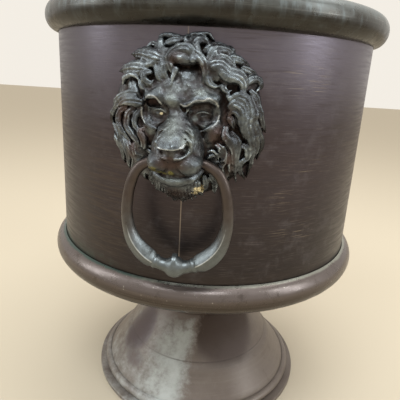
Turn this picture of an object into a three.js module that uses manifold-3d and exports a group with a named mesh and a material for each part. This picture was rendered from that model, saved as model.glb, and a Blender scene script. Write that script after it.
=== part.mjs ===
// Jardiniere: a cylindrical sheet-metal pot with a fat rolled rim and a rolled
// base bead, on a spun pedestal foot, with a cast lion mask and a hanging ring
// on the front and on the back.
// Millimetres, +Z up, the origin at the centre of the foot's underside. The
// front mask faces -Y and the rear mask faces +Y.
import * as THREE from 'three';
import { mergeVertices } from 'three/addons/utils/BufferGeometryUtils.js';
import Module from 'manifold-3d';

const wasm = await Module();
wasm.setup();

// Overall sizes. The pedestal takes a share of the height and the body the rest.
const TOTAL_HEIGHT = 417;
const BODY_RADIUS = 160;
const FLANGE_RADIUS = 125.5;
const PEDESTAL_SHARE = 0.4185;
const TURNED_SEGMENTS = 48;
const FOOT_SEGMENTS = 36;

// Clearances
const SEAM_GAP = 0.3;
const HOLE_CLEARANCE = 0.4;
const PIN_CLEARANCE = 0.4;

// Body wall and rolled rim
const WALL_SHEET = 1.6;
const RIM_SHEET = 1.4;
const RIM_HALF_WIDTH = 11.5;
const RIM_HALF_HEIGHT = 13.5;
const RIM_CENTRE_Z = TOTAL_HEIGHT - RIM_HALF_HEIGHT;
const RIM_OUTER_STEPS = 12;
const RIM_INNER_STEPS = 8;
const WALL_INNER_RADIUS = BODY_RADIUS - WALL_SHEET;
const RIM_CREST_ALLOWANCE = 1.3;
const WALL_TOP_Z = TOTAL_HEIGHT - RIM_SHEET - RIM_CREST_ALLOWANCE;

// Rolled bead round the bottom of the body
const BEAD_INSET = 3.6;
const BEAD_CENTRE_RADIUS = BODY_RADIUS - BEAD_INSET;
const BEAD_CENTRE_Z = TOTAL_HEIGHT * PEDESTAL_SHARE;
const BEAD_HALF_SIZE = 14;
const BEAD_SHEET = 1.4;
const BEAD_LIP_ANGLE = -2.04;
const BEAD_OUTER_STEPS = 9;
const BEAD_INNER_STEPS = 6;
const WALL_TUCK = 5;
const WALL_BOTTOM_Z = BEAD_CENTRE_Z - WALL_TUCK;

// Dished bottom pan with a pressed well for the draw bolt
const PAN_SHEET = 1.6;
const PAN_LAP = 10.6;
const PAN_EDGE_Z = BEAD_CENTRE_Z - PAN_LAP;
const PAN_FLANGE_HEIGHT = 17;
const PAN_FLANGE_RADIUS = WALL_INNER_RADIUS - SEAM_GAP;
const PAN_LEDGE = 10;
const PAN_BEND = 2.5;
const PAN_DISH_WIDTH = 42;
const PAN_FLOOR_RADIUS = BODY_RADIUS - PAN_DISH_WIDTH;
const PAN_DEPTH = 21.5;
const PAN_FLOOR_UNDERSIDE_Z = BEAD_CENTRE_Z - PAN_DEPTH;
const WELL_RADIUS = 32;
const WELL_DEPTH = 12;
const WELL_DRAFT = 4;
const WELL_UNDERSIDE_Z = PAN_FLOOR_UNDERSIDE_Z - WELL_DEPTH;
const WELL_FLOOR_Z = WELL_UNDERSIDE_Z + PAN_SHEET;

// Foot flange and half-round foot bead
const FLANGE_WIDTH = 22.5;
const FLANGE_INNER_RADIUS = FLANGE_RADIUS - FLANGE_WIDTH;
const FLANGE_THICKNESS = 4.6;
const FLANGE_EDGE_ROUND = 1.4;
const FLANGE_LEDGE = 13;
const FOOT_BEAD_DEPTH = 6;
const FOOT_BEAD_HEIGHT = 9.4;

// Spun bell of the foot
const SPUN_SHEET = 1.6;
const BELL_SKIRT_RADIUS = FLANGE_RADIUS - FLANGE_LEDGE;
const BELL_SKIRT_Z = FLANGE_THICKNESS + SEAM_GAP;
const BELL_SHOULDER_Z = BELL_SKIRT_Z + FOOT_BEAD_HEIGHT + SEAM_GAP;
const BELL_HEIGHT_SHARE = 0.5215;
const BELL_TOP_Z = BEAD_CENTRE_Z * BELL_HEIGHT_SHARE;
const BELL_NECK_RADIUS = 56.5;
const BELL_FLARE = 1.12;
const BELL_STEP = 1.2;
const BELL_STEP_RISE = 3;
const BELL_STEP_SHARE = 0.42;

// Turned collar at the waist of the foot
const COLLAR_PROUD = 5.5;
const COLLAR_RADIUS = BELL_NECK_RADIUS + COLLAR_PROUD;
const COLLAR_SEAT_RADIUS = BELL_NECK_RADIUS - SEAM_GAP;
const COLLAR_SEAT_WIDTH = 8;
const COLLAR_WEB_INSET = 12.5;
const COLLAR_WEB_RADIUS = BELL_NECK_RADIUS - COLLAR_WEB_INSET;
const COLLAR_HEIGHT = 15;
const COLLAR_WEB = 4.5;
const COLLAR_BOTTOM_Z = BELL_TOP_Z + SEAM_GAP;
const COLLAR_TOP_Z = COLLAR_BOTTOM_Z + COLLAR_HEIGHT;

// Spun trumpet between the collar and the pan
const TRUMPET_SHRINK = 2.5;
const TRUMPET_NECK_RADIUS = BELL_NECK_RADIUS - TRUMPET_SHRINK;
const TRUMPET_SPREAD = 34;
const TRUMPET_MOUTH_RADIUS = TRUMPET_NECK_RADIUS + TRUMPET_SPREAD;
const TRUMPET_FLARE = 2.2;
const TRUMPET_BRIM = 6;
const TRUMPET_LIP = 8;
const TRUMPET_BOTTOM_Z = COLLAR_TOP_Z + SEAM_GAP;
const TRUMPET_TOP_Z = PAN_FLOOR_UNDERSIDE_Z - SEAM_GAP;

// Draw bolt through the foot
const BOLT_RADIUS = 5;
const BOLT_HEAD_ACROSS_FLATS = 16;
const BOLT_HEAD_HEIGHT = 6.4;
const SEAL_RADIUS = 16;
const SEAL_THICKNESS = 2.5;
const BOLT_WASHER_RADIUS = 14;
const BOLT_WASHER_THICKNESS = 1.6;
const CUP_WASHER_RADIUS = 20;
const CUP_WASHER_THICKNESS = 2.5;
const NUT_HEIGHT = 8;
const BOLT_TAIL = 7;

// Lion mask. It and its ring are one pattern, sized in shares of the mask's
// radius, and the mask takes a share of the body's height.
const BODY_HEIGHT = RIM_CENTRE_Z - BEAD_CENTRE_Z;
const MASK_RADIUS = BODY_HEIGHT * 0.2577;
const MASK_CENTRE_Z = BEAD_CENTRE_Z + BODY_HEIGHT * 0.653;
const MASK_EDGE = MASK_RADIUS * 0.076;
const MASK_STEPS_ROUND = 60;
const MASK_COLUMNS = 30;
const MASK_ROWS = 34;
const MASK_GRID_CENTRE = -0.136;
const CORE_HALF_WIDTH = MASK_RADIUS * 0.407;
const CORE_HALF_HEIGHT = MASK_RADIUS * 0.441;
const CORE_DEPTH = MASK_RADIUS * 0.22;
const CORE_CENTRE_Z = MASK_CENTRE_Z + MASK_RADIUS * 0.136;

// Hanging ring, its pins in the corners of the mouth
const PIVOT_Z = MASK_CENTRE_Z - MASK_RADIUS * 0.483;
const PIVOT_REACH = BODY_RADIUS + MASK_RADIUS * 0.339;
const PIN_RADIUS = MASK_RADIUS * 0.0593;
const PIN_END_X = MASK_RADIUS * 0.203;
const MOUTH_HALF_WIDTH = MASK_RADIUS * 0.3136;
const BORE_LENGTH = MASK_RADIUS * 0.46;
const RING_HALF_WIDTH = MASK_RADIUS * 0.6525;
const RING_DROP = MASK_RADIUS * 1.407;
const RING_SIDES = 8;
const RING_STATIONS = 44;
const RING_CROWDING = 1.5;
const RING_BALL_RADIUS = MASK_RADIUS * 0.129;
const RING_BALL_HALF_LENGTH = MASK_RADIUS * 0.144;
const RING_NECK_RADIUS = MASK_RADIUS * 0.0712;
const RING_SWELL_RADIUS = MASK_RADIUS * 0.1017;

// Mask screws, driven from inside the pot
const SCREW_RADIUS = 2.5;
const SCREW_HEAD_ACROSS_FLATS = 8;
const SCREW_HEAD_HEIGHT = 3.5;
const SCREW_BITE = 9;
const WASHER_RADIUS = 6;
const WASHER_THICKNESS = 1.2;
const SCREW_HEIGHTS = {
  upper: MASK_CENTRE_Z + MASK_RADIUS * 0.763,
  lower: MASK_CENTRE_Z - MASK_RADIUS * 0.864,
};

const PATINA = new THREE.MeshStandardMaterial({ color: 0x5a4b4b, metalness: 0.7, roughness: 0.5 });
const MASK_BRONZE = new THREE.MeshStandardMaterial({ color: 0x4c4f4a, metalness: 0.7, roughness: 0.5 });
const STEEL = new THREE.MeshStandardMaterial({ color: 0x8a8c8e, metalness: 0.8, roughness: 0.4 });
const RUBBER = new THREE.MeshStandardMaterial({ color: 0x1c1c1c, metalness: 0, roughness: 0.9 });

const group = new THREE.Group();
group.name = 'jardiniere';

// Six times the signed volume, negative when the faces look inward.
function signedVolume(positions, index) {
  const a = new THREE.Vector3();
  const b = new THREE.Vector3();
  const c = new THREE.Vector3();
  let total = 0;
  for (let i = 0; i < index.length; i += 3) {
    a.fromArray(positions, index[i] * 3);
    b.fromArray(positions, index[i + 1] * 3);
    c.fromArray(positions, index[i + 2] * 3);
    total += a.dot(b.cross(c));
  }
  return total;
}

// Welds a geometry into one closed body whose faces look outward.
function welded(source) {
  const geometry = source.clone();
  geometry.deleteAttribute('normal');
  geometry.deleteAttribute('uv');
  const merged = mergeVertices(geometry, 1e-4);
  const kept = [];
  const index = merged.index.array;
  for (let i = 0; i < index.length; i += 3) {
    const [a, b, c] = [index[i], index[i + 1], index[i + 2]];
    if (a !== b && b !== c && c !== a) kept.push(a, b, c);
  }
  if (signedVolume(merged.attributes.position.array, kept) < 0) kept.reverse();
  merged.setIndex(kept);
  return merged;
}

function toManifold(source) {
  const geometry = welded(source);
  return new wasm.Manifold(new wasm.Mesh({
    numProp: 3,
    vertProperties: new Float32Array(geometry.attributes.position.array),
    triVerts: new Uint32Array(geometry.index.array),
  }));
}

function fromManifold(body) {
  const mesh = body.getMesh();
  const geometry = new THREE.BufferGeometry();
  geometry.setAttribute('position', new THREE.BufferAttribute(mesh.vertProperties, 3));
  geometry.setIndex(new THREE.BufferAttribute(mesh.triVerts, 1));
  return geometry;
}

function cut(source, ...tools) {
  const body = tools.reduce((left, tool) => left.subtract(toManifold(tool)), toManifold(source));
  return fromManifold(body);
}

function join(...sources) {
  const [first, ...rest] = sources.map(toManifold);
  return fromManifold(rest.reduce((left, right) => left.add(right), first));
}

function addPiece(name, geometry, material) {
  const finished = welded(geometry);
  finished.computeVertexNormals();
  const mesh = new THREE.Mesh(finished, material);
  mesh.name = name;
  group.add(mesh);
}

// Revolves a closed section, given as [radius, height] points, about the Z axis.
function turned(section, segments = TURNED_SEGMENTS) {
  const points = section.map(([radius, height]) => new THREE.Vector2(radius, height));
  points.push(points[0].clone());
  return new THREE.LatheGeometry(points, segments).rotateX(Math.PI / 2);
}

// Gives an open outline a thickness, measured to the left of its direction.
function sheetSection(outline, thickness) {
  const points = outline.map(([radius, height]) => new THREE.Vector2(radius, height));
  const sideways = (from, to) => {
    const along = to.clone().sub(from).normalize();
    return new THREE.Vector2(-along.y, along.x);
  };
  const offset = points.map((point, i) => {
    const before = i > 0 ? sideways(points[i - 1], point) : sideways(point, points[i + 1]);
    const after = i < points.length - 1 ? sideways(point, points[i + 1]) : before;
    const mitre = before.clone().add(after).multiplyScalar(thickness / (1 + before.dot(after)));
    return [point.x + mitre.x, point.y + mitre.y];
  });
  return [...outline, ...offset.reverse()];
}

// A slit tube in section: an oval roll of sheet from one angle round to another.
function rolledSection(roll, fromAngle, toAngle) {
  const arc = (halfWidth, halfHeight, steps, start, end) => {
    const points = [];
    for (let i = 0; i < steps; i += 1) {
      const angle = start + (end - start) * i / (steps - 1);
      points.push([
        roll.radius + halfWidth * Math.cos(angle),
        roll.z + halfHeight * Math.sin(angle),
      ]);
    }
    return points;
  };
  const outer = arc(roll.halfWidth, roll.halfHeight, roll.outerSteps, fromAngle, toAngle);
  const inner = arc(
    roll.halfWidth - roll.sheet,
    roll.halfHeight - roll.sheet,
    roll.innerSteps,
    toAngle,
    fromAngle,
  );
  return [...outer, ...inner];
}

// The angle at which a roll's inner face reaches a given radius.
function slitAngle(roll, radius) {
  return Math.acos((radius - roll.radius) / (roll.halfWidth - roll.sheet));
}

function rod(radius, fromZ, toZ, sides) {
  const height = toZ - fromZ;
  return new THREE.CylinderGeometry(radius, radius, height, sides)
    .rotateX(Math.PI / 2)
    .translate(0, 0, fromZ + height / 2);
}

function hexagon(acrossFlats, fromZ, toZ) {
  return rod(acrossFlats / Math.sqrt(3), fromZ, toZ, 6);
}

function washer(radius, holeRadius, fromZ, thickness, segments) {
  return turned([
    [holeRadius, fromZ],
    [radius, fromZ],
    [radius, fromZ + thickness],
    [holeRadius, fromZ + thickness],
  ], segments);
}

// Turns a piece built along +Z to point outward through the wall of one side.
function throughWall(geometry, height, side) {
  return onSide(geometry.rotateX(Math.PI / 2).translate(0, 0, height), side);
}

function onSide(geometry, side) {
  return side === 'rear' ? geometry.rotateZ(Math.PI) : geometry;
}

function rollRim() {
  const roll = {
    radius: BODY_RADIUS,
    z: RIM_CENTRE_Z,
    halfWidth: RIM_HALF_WIDTH,
    halfHeight: RIM_HALF_HEIGHT,
    sheet: RIM_SHEET,
    outerSteps: RIM_OUTER_STEPS,
    innerSteps: RIM_INNER_STEPS,
  };
  const outside = -slitAngle(roll, BODY_RADIUS + SEAM_GAP);
  const inside = 2 * Math.PI - slitAngle(roll, WALL_INNER_RADIUS - SEAM_GAP);
  return turned(rolledSection(roll, outside, inside));
}

function rollBead() {
  const roll = {
    radius: BEAD_CENTRE_RADIUS,
    z: BEAD_CENTRE_Z,
    halfWidth: BEAD_HALF_SIZE,
    halfHeight: BEAD_HALF_SIZE,
    sheet: BEAD_SHEET,
    outerSteps: BEAD_OUTER_STEPS,
    innerSteps: BEAD_INNER_STEPS,
  };
  return turned(rolledSection(roll, BEAD_LIP_ANGLE, slitAngle(roll, BODY_RADIUS + SEAM_GAP)));
}

function screwHole(height, side) {
  const reach = BODY_RADIUS + SEAM_GAP + SCREW_BITE + HOLE_CLEARANCE;
  return throughWall(rod(SCREW_RADIUS + HOLE_CLEARANCE, BODY_RADIUS / 2, reach, 16), height, side);
}

function bodyWall() {
  const shell = turned([
    [WALL_INNER_RADIUS, WALL_BOTTOM_Z],
    [BODY_RADIUS, WALL_BOTTOM_Z],
    [BODY_RADIUS, WALL_TOP_Z],
    [WALL_INNER_RADIUS, WALL_TOP_Z],
  ]);
  const holes = ['front', 'rear'].flatMap(
    (side) => Object.values(SCREW_HEIGHTS).map((height) => screwHole(height, side)),
  );
  return cut(shell, ...holes);
}

function bottomPan() {
  const boltHole = BOLT_RADIUS + HOLE_CLEARANCE;
  return turned(sheetSection([
    [boltHole, WELL_UNDERSIDE_Z],
    [WELL_RADIUS, WELL_UNDERSIDE_Z],
    [WELL_RADIUS + WELL_DRAFT, PAN_FLOOR_UNDERSIDE_Z],
    [PAN_FLOOR_RADIUS, PAN_FLOOR_UNDERSIDE_Z],
    [PAN_FLANGE_RADIUS - PAN_LEDGE, PAN_EDGE_Z],
    [PAN_FLANGE_RADIUS - PAN_BEND, PAN_EDGE_Z + PAN_BEND / 6],
    [PAN_FLANGE_RADIUS, PAN_EDGE_Z + PAN_BEND * 7 / 6],
    [PAN_FLANGE_RADIUS, PAN_EDGE_Z + PAN_FLANGE_HEIGHT],
  ], PAN_SHEET));
}

function trumpet() {
  const rise = TRUMPET_TOP_Z - SPUN_SHEET - TRUMPET_BOTTOM_Z;
  const outline = [
    [TRUMPET_NECK_RADIUS - TRUMPET_LIP, TRUMPET_BOTTOM_Z],
    [TRUMPET_NECK_RADIUS, TRUMPET_BOTTOM_Z],
  ];
  for (const share of [0.3, 0.55, 0.8, 1]) {
    outline.push([
      TRUMPET_NECK_RADIUS + TRUMPET_SPREAD * share ** TRUMPET_FLARE,
      TRUMPET_BOTTOM_Z + rise * share,
    ]);
  }
  outline.push([TRUMPET_MOUTH_RADIUS + TRUMPET_BRIM, TRUMPET_BOTTOM_Z + rise]);
  return turned(sheetSection(outline, SPUN_SHEET), FOOT_SEGMENTS);
}

function collar() {
  const bottom = COLLAR_BOTTOM_Z;
  const top = COLLAR_TOP_Z;
  const middle = (bottom + top) / 2;
  const shoulder = COLLAR_HEIGHT * 0.29;
  const seatInner = COLLAR_SEAT_RADIUS - COLLAR_SEAT_WIDTH;
  return turned([
    [BOLT_RADIUS + HOLE_CLEARANCE, middle - COLLAR_WEB / 2],
    [COLLAR_WEB_RADIUS, middle - COLLAR_WEB / 2],
    [seatInner, bottom],
    [COLLAR_SEAT_RADIUS, bottom],
    [COLLAR_RADIUS - COLLAR_PROUD / 4, middle - shoulder],
    [COLLAR_RADIUS, middle],
    [COLLAR_RADIUS - COLLAR_PROUD / 4, middle + shoulder],
    [COLLAR_SEAT_RADIUS, top],
    [seatInner, top],
    [COLLAR_WEB_RADIUS, middle + COLLAR_WEB / 2],
    [BOLT_RADIUS + HOLE_CLEARANCE, middle + COLLAR_WEB / 2],
  ], FOOT_SEGMENTS);
}

// Radius of the flared bell at a share of the way from its shoulder to its neck.
function bellRadius(share) {
  return BELL_NECK_RADIUS + (BELL_SKIRT_RADIUS - BELL_NECK_RADIUS) * (1 - share) ** BELL_FLARE;
}

function footBell() {
  const flareHeight = BELL_TOP_Z - BELL_SHOULDER_Z;
  const at = (share, proud = 0) => [bellRadius(share) + proud, BELL_SHOULDER_Z + flareHeight * share];
  const belowStep = BELL_STEP_SHARE - BELL_STEP_RISE / flareHeight;
  return turned(sheetSection([
    [BELL_SKIRT_RADIUS, BELL_SKIRT_Z],
    at(0),
    at(0.1),
    at(0.22),
    at(belowStep, BELL_STEP),
    at(BELL_STEP_SHARE),
    at(0.57),
    at(0.71),
    at(0.86),
    at(1),
    [BOLT_RADIUS + HOLE_CLEARANCE, BELL_TOP_Z],
  ], SPUN_SHEET), FOOT_SEGMENTS);
}

function footBead() {
  const inner = BELL_SKIRT_RADIUS + SEAM_GAP;
  const bottom = FLANGE_THICKNESS + SEAM_GAP;
  const section = [[inner, bottom]];
  for (const share of [0, 0.25, 0.5, 0.75, 1]) {
    const angle = -Math.PI / 2 + Math.PI * (0.18 + 0.82 * share);
    section.push([
      inner + FOOT_BEAD_DEPTH * Math.cos(angle),
      bottom + FOOT_BEAD_HEIGHT * (1 + Math.sin(angle)) / 2,
    ]);
  }
  section[1][1] = bottom;
  return turned(section, FOOT_SEGMENTS);
}

function footFlange() {
  return turned([
    [FLANGE_INNER_RADIUS, 0],
    [FLANGE_RADIUS, 0],
    [FLANGE_RADIUS, FLANGE_THICKNESS - FLANGE_EDGE_ROUND],
    [FLANGE_RADIUS - FLANGE_EDGE_ROUND, FLANGE_THICKNESS],
    [FLANGE_INNER_RADIUS, FLANGE_THICKNESS],
  ], FOOT_SEGMENTS);
}

// An oval boss of a given height in the relief, zero outside its outline.
function boss(x, z, centreX, centreZ, radiusX, radiusZ, height, sharpness = 0.55) {
  const distance = ((x - centreX) / radiusX) ** 2 + ((z - centreZ) / radiusZ) ** 2;
  return distance < 1 ? height * (1 - distance) ** sharpness : 0;
}

// Height of the mane: a domed cushion that falls to the edge, combed into
// curved locks that sweep back from the face. Here and in the relief every
// length is a share of the mask's radius.
function maneRelief(x, z) {
  const angle = Math.atan2(x, z);
  const out = Math.hypot(x, z) / maskReach(Math.PI - Math.abs(angle));
  const cushion = MASK_EDGE / MASK_RADIUS + 0.186 * Math.max(0, 1 - out ** 5) ** 0.5;
  const sweep = Math.abs(angle) * 13 + 6 * out;
  const comb = Math.cos(sweep) * 0.044 * Math.max(0, Math.min(1, (out - 0.45) / 0.25));
  return cushion + comb * (out < 0.93 ? 1 : 0.4);
}

// Height of the lion's relief above the wall, x across the face and z above
// the middle of the mask.
function relief(x, z) {
  const across = Math.abs(x);
  const crown = boss(across, z, 0, 0.17, 0.525, 0.508, 0.407);
  const forelock = boss(across, z, 0.153, 0.678, 0.186, 0.22, 0.39);
  const ear = boss(across, z, 0.424, 0.508, 0.186, 0.186, 0.339);
  const browRidge = boss(across, z, 0.254, 0.28, 0.203, 0.093, 0.508);
  const cheek = boss(across, z, 0.407, -0.136, 0.203, 0.271, 0.39);
  const noseRoot = boss(across, z, 0, 0.203, 0.153, 0.339, 0.542);
  const noseBridge = boss(across, z, 0, 0, 0.161, 0.322, 0.712);
  const noseTip = boss(across, z, 0, -0.186, 0.178, 0.136, 0.881);
  const muzzle = boss(across, z, 0.144, -0.305, 0.203, 0.186, 0.763);
  const mouth = boss(across, z, 0, -0.483, 0.331, 0.22, 0.525, 0.3);
  const lip = boss(across, z, 0, -0.627, 0.254, 0.119, 0.61);
  const beard = boss(across, z, 0, -0.831, 0.305, 0.237, 0.39);
  const socket = boss(across, z, 0.28, 0.102, 0.153, 0.11, 0.136);
  const eyeball = boss(across, z, 0.28, 0.102, 0.085, 0.068, 0.068);
  const furrow = boss(across, z, 0, 0.322, 0.068, 0.169, 0.051);
  const tallest = Math.max(
    maneRelief(x, z),
    crown,
    forelock,
    ear,
    browRidge,
    cheek,
    noseRoot,
    noseBridge,
    noseTip,
    muzzle,
    mouth,
    lip,
    beard,
  );
  return tallest - socket + eyeball - furrow;
}

// Distance from the middle of the mask to its edge, in a direction measured
// from straight down. Two notches part the beard from the mane.
function maskReach(angle) {
  const fromDown = Math.abs(angle);
  const scallop = 0.027 * Math.cos(18 * angle);
  const notch = 0.288 * Math.exp(-(((fromDown - 0.6) / 0.17) ** 2));
  return 1 + scallop - notch;
}

// The mask's outline, as a prism along Y.
function maskOutlinePrism() {
  const outline = new THREE.Shape();
  for (let step = 0; step < MASK_STEPS_ROUND; step += 1) {
    const angle = -Math.PI + 2 * Math.PI * step / MASK_STEPS_ROUND;
    const reach = MASK_RADIUS * maskReach(angle);
    const x = reach * Math.sin(angle);
    const z = MASK_CENTRE_Z - reach * Math.cos(angle);
    if (step === 0) outline.moveTo(x, z);
    else outline.lineTo(x, z);
  }
  outline.closePath();
  return new THREE.ExtrudeGeometry(outline, { depth: BODY_RADIUS, bevelEnabled: false })
    .rotateX(Math.PI / 2)
    .translate(0, -BODY_RADIUS / 2, 0);
}

// A block whose front is the relief, on a grid that is finest over the face.
function reliefBlock() {
  const half = 1.07;
  const spread = (share) => half * Math.sign(share) * Math.abs(share) ** 1.25;
  const columns = MASK_COLUMNS + 1;
  const rows = MASK_ROWS + 1;
  const positions = [];
  for (const isFront of [true, false]) {
    for (let row = 0; row < rows; row += 1) {
      for (let column = 0; column < columns; column += 1) {
        const x = spread(2 * column / MASK_COLUMNS - 1);
        const share = 2 * row / MASK_ROWS - 1;
        const z = spread(share) + MASK_GRID_CENTRE * (1 - share ** 2);
        const wall = Math.sqrt((BODY_RADIUS + SEAM_GAP) ** 2 - (MASK_RADIUS * x) ** 2);
        positions.push(
          MASK_RADIUS * x,
          isFront ? -wall - MASK_RADIUS * relief(x, z) : -BODY_RADIUS / 2,
          MASK_CENTRE_Z + MASK_RADIUS * z,
        );
      }
    }
  }
  const index = [];
  const at = (layer, row, column) => (layer * rows + row) * columns + column;
  const quad = (a, b, c, d) => index.push(a, b, c, a, c, d);
  for (let row = 0; row < MASK_ROWS; row += 1) {
    for (let column = 0; column < MASK_COLUMNS; column += 1) {
      quad(
        at(0, row, column),
        at(0, row, column + 1),
        at(0, row + 1, column + 1),
        at(0, row + 1, column),
      );
      quad(
        at(1, row, column),
        at(1, row + 1, column),
        at(1, row + 1, column + 1),
        at(1, row, column + 1),
      );
    }
  }
  for (let column = 0; column < MASK_COLUMNS; column += 1) {
    quad(at(1, 0, column), at(1, 0, column + 1), at(0, 0, column + 1), at(0, 0, column));
    quad(
      at(0, MASK_ROWS, column),
      at(0, MASK_ROWS, column + 1),
      at(1, MASK_ROWS, column + 1),
      at(1, MASK_ROWS, column),
    );
  }
  for (let row = 0; row < MASK_ROWS; row += 1) {
    quad(at(0, row, 0), at(0, row + 1, 0), at(1, row + 1, 0), at(1, row, 0));
    quad(
      at(1, row, MASK_COLUMNS),
      at(1, row + 1, MASK_COLUMNS),
      at(0, row + 1, MASK_COLUMNS),
      at(0, row, MASK_COLUMNS),
    );
  }
  const geometry = new THREE.BufferGeometry();
  geometry.setAttribute('position', new THREE.Float32BufferAttribute(positions, 3));
  geometry.setIndex(index);
  return geometry;
}

// The hollow cored out of the back of the casting, behind the face.
function maskCore() {
  return new THREE.SphereGeometry(1, 14, 8)
    .scale(CORE_HALF_WIDTH, CORE_DEPTH, CORE_HALF_HEIGHT)
    .translate(0, -BODY_RADIUS, CORE_CENTRE_Z);
}

function maskBody() {
  const pot = rod(BODY_RADIUS + SEAM_GAP, 0, TOTAL_HEIGHT, 2 * TURNED_SEGMENTS);
  const cast = toManifold(reliefBlock()).intersect(toManifold(maskOutlinePrism()));
  return cut(fromManifold(cast), pot, maskCore());
}

// Blind bore for one ring pin, entering the corner of the mouth.
function pinBore(direction) {
  const inner = PIN_END_X - PIN_CLEARANCE;
  return rod(PIN_RADIUS + PIN_CLEARANCE, inner, inner + BORE_LENGTH, 16)
    .rotateY(direction * Math.PI / 2)
    .translate(0, -PIVOT_REACH, PIVOT_Z);
}

function lionMask(side) {
  const screwBores = Object.values(SCREW_HEIGHTS).map((height) => screwHole(height, 'front'));
  return onSide(cut(maskBody(), pinBore(1), pinBore(-1), ...screwBores), side);
}

// Centre line and radius of the ring along its length, from the pin in one
// corner of the mouth round the ball to the pin in the other.
function ringStation(share) {
  const side = Math.sign(share - 0.5);
  const fromBall = (Math.abs(share - 0.5) * 2) ** RING_CROWDING;
  const half = ringHalf(1 - fromBall);
  return { x: side * half.x, drop: half.drop, radius: half.radius };
}

function ringPoint(acrossShare, dropShare) {
  return new THREE.Vector3(RING_HALF_WIDTH * acrossShare, RING_DROP * dropShare, 0);
}

const HALF_RING = new THREE.CatmullRomCurve3([
  new THREE.Vector3(PIN_END_X, 0, 0),
  new THREE.Vector3(MOUTH_HALF_WIDTH + PIN_RADIUS / 2, 0, 0),
  ringPoint(0.78, 0.078),
  ringPoint(0.94, 0.253),
  ringPoint(1, 0.506),
  ringPoint(0.896, 0.735),
  ringPoint(0.65, 0.886),
  ringPoint(0.338, 0.97),
  ringPoint(0, 1),
], false, 'centripetal');

function ringHalf(share) {
  const point = HALF_RING.getPoint(share);
  const swell = Math.exp(-(((share - 0.7) / 0.15) ** 2));
  const fromBall = point.x / RING_BALL_HALF_LENGTH;
  const ball = fromBall < 1 && share > 0.5 ? RING_BALL_RADIUS * Math.sqrt(1 - fromBall ** 2) : 0;
  const bar = PIN_RADIUS + (RING_NECK_RADIUS - PIN_RADIUS) * share
    + (RING_SWELL_RADIUS - RING_NECK_RADIUS) * swell;
  return { x: point.x, drop: point.y, radius: Math.max(bar, ball) };
}

function hangingRing(side) {
  const positions = [];
  const index = [];
  const stations = [];
  for (let i = 0; i <= RING_STATIONS; i += 1) stations.push(ringStation(i / RING_STATIONS));
  const point = ({ x, drop }) => new THREE.Vector2(x, -drop);
  stations.forEach((station, i) => {
    const before = point(stations[Math.max(i - 1, 0)]);
    const after = point(stations[Math.min(i + 1, RING_STATIONS)]);
    const along = after.sub(before).normalize();
    if (i === 0 || i === RING_STATIONS) along.set(1, 0);
    for (let k = 0; k < RING_SIDES; k += 1) {
      const angle = 2 * Math.PI * (k + 0.5) / RING_SIDES;
      const outward = station.radius * Math.cos(angle);
      positions.push(
        station.x - along.y * outward,
        -PIVOT_REACH + station.radius * Math.sin(angle),
        PIVOT_Z - station.drop + along.x * outward,
      );
    }
  });
  const at = (station, k) => station * RING_SIDES + (k % RING_SIDES);
  for (let i = 0; i < RING_STATIONS; i += 1) {
    for (let k = 0; k < RING_SIDES; k += 1) {
      index.push(at(i, k), at(i, k + 1), at(i + 1, k + 1));
      index.push(at(i, k), at(i + 1, k + 1), at(i + 1, k));
    }
  }
  for (let k = 1; k < RING_SIDES - 1; k += 1) {
    index.push(at(0, 0), at(0, k + 1), at(0, k));
    index.push(at(RING_STATIONS, 0), at(RING_STATIONS, k), at(RING_STATIONS, k + 1));
  }
  const geometry = new THREE.BufferGeometry();
  geometry.setAttribute('position', new THREE.Float32BufferAttribute(positions, 3));
  geometry.setIndex(index);
  return onSide(geometry, side);
}

function maskScrew(height, side) {
  const headTop = washerSeat() - WASHER_THICKNESS - SEAM_GAP;
  const head = hexagon(SCREW_HEAD_ACROSS_FLATS, headTop - SCREW_HEAD_HEIGHT, headTop);
  const shank = rod(SCREW_RADIUS, headTop - 1, BODY_RADIUS + SEAM_GAP + SCREW_BITE, 12);
  return throughWall(join(head, shank), height, side);
}

// Distance from the pot's axis to the flat outer face of a mask washer, which
// bears on the inside of the curved wall along its two side edges.
function washerSeat() {
  const wallFlat = WALL_INNER_RADIUS * Math.cos(Math.PI / TURNED_SEGMENTS);
  return Math.sqrt(wallFlat ** 2 - WASHER_RADIUS ** 2) - SEAM_GAP / 2;
}

function maskWasher(height, side) {
  const seat = washerSeat();
  const hole = SCREW_RADIUS + HOLE_CLEARANCE;
  return throughWall(
    washer(WASHER_RADIUS, hole, seat - WASHER_THICKNESS, WASHER_THICKNESS, 16),
    height,
    side,
  );
}

function drawBolt() {
  const seal = WELL_FLOOR_Z + SEAM_GAP;
  const plate = seal + SEAL_THICKNESS + SEAM_GAP;
  const head = plate + BOLT_WASHER_THICKNESS + SEAM_GAP;
  const cup = BELL_TOP_Z - SPUN_SHEET - SEAM_GAP - CUP_WASHER_THICKNESS;
  const nut = cup - SEAM_GAP - NUT_HEIGHT;
  const hole = BOLT_RADIUS + HOLE_CLEARANCE;
  const bolt = join(
    hexagon(BOLT_HEAD_ACROSS_FLATS, head, head + BOLT_HEAD_HEIGHT),
    rod(BOLT_RADIUS, nut - BOLT_TAIL, head + 1, 16),
  );
  addPiece('draw_bolt', bolt, STEEL);
  addPiece('draw_seal', washer(SEAL_RADIUS, hole, seal, SEAL_THICKNESS, 24), RUBBER);
  addPiece('draw_washer', washer(BOLT_WASHER_RADIUS, hole, plate, BOLT_WASHER_THICKNESS, 24), STEEL);
  addPiece('draw_cup_washer', washer(CUP_WASHER_RADIUS, hole, cup, CUP_WASHER_THICKNESS, 24), STEEL);
  addPiece('draw_nut', cut(
    hexagon(BOLT_HEAD_ACROSS_FLATS, nut, nut + NUT_HEIGHT),
    rod(hole, nut - 1, nut + NUT_HEIGHT + 1, 16),
  ), STEEL);
}

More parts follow.
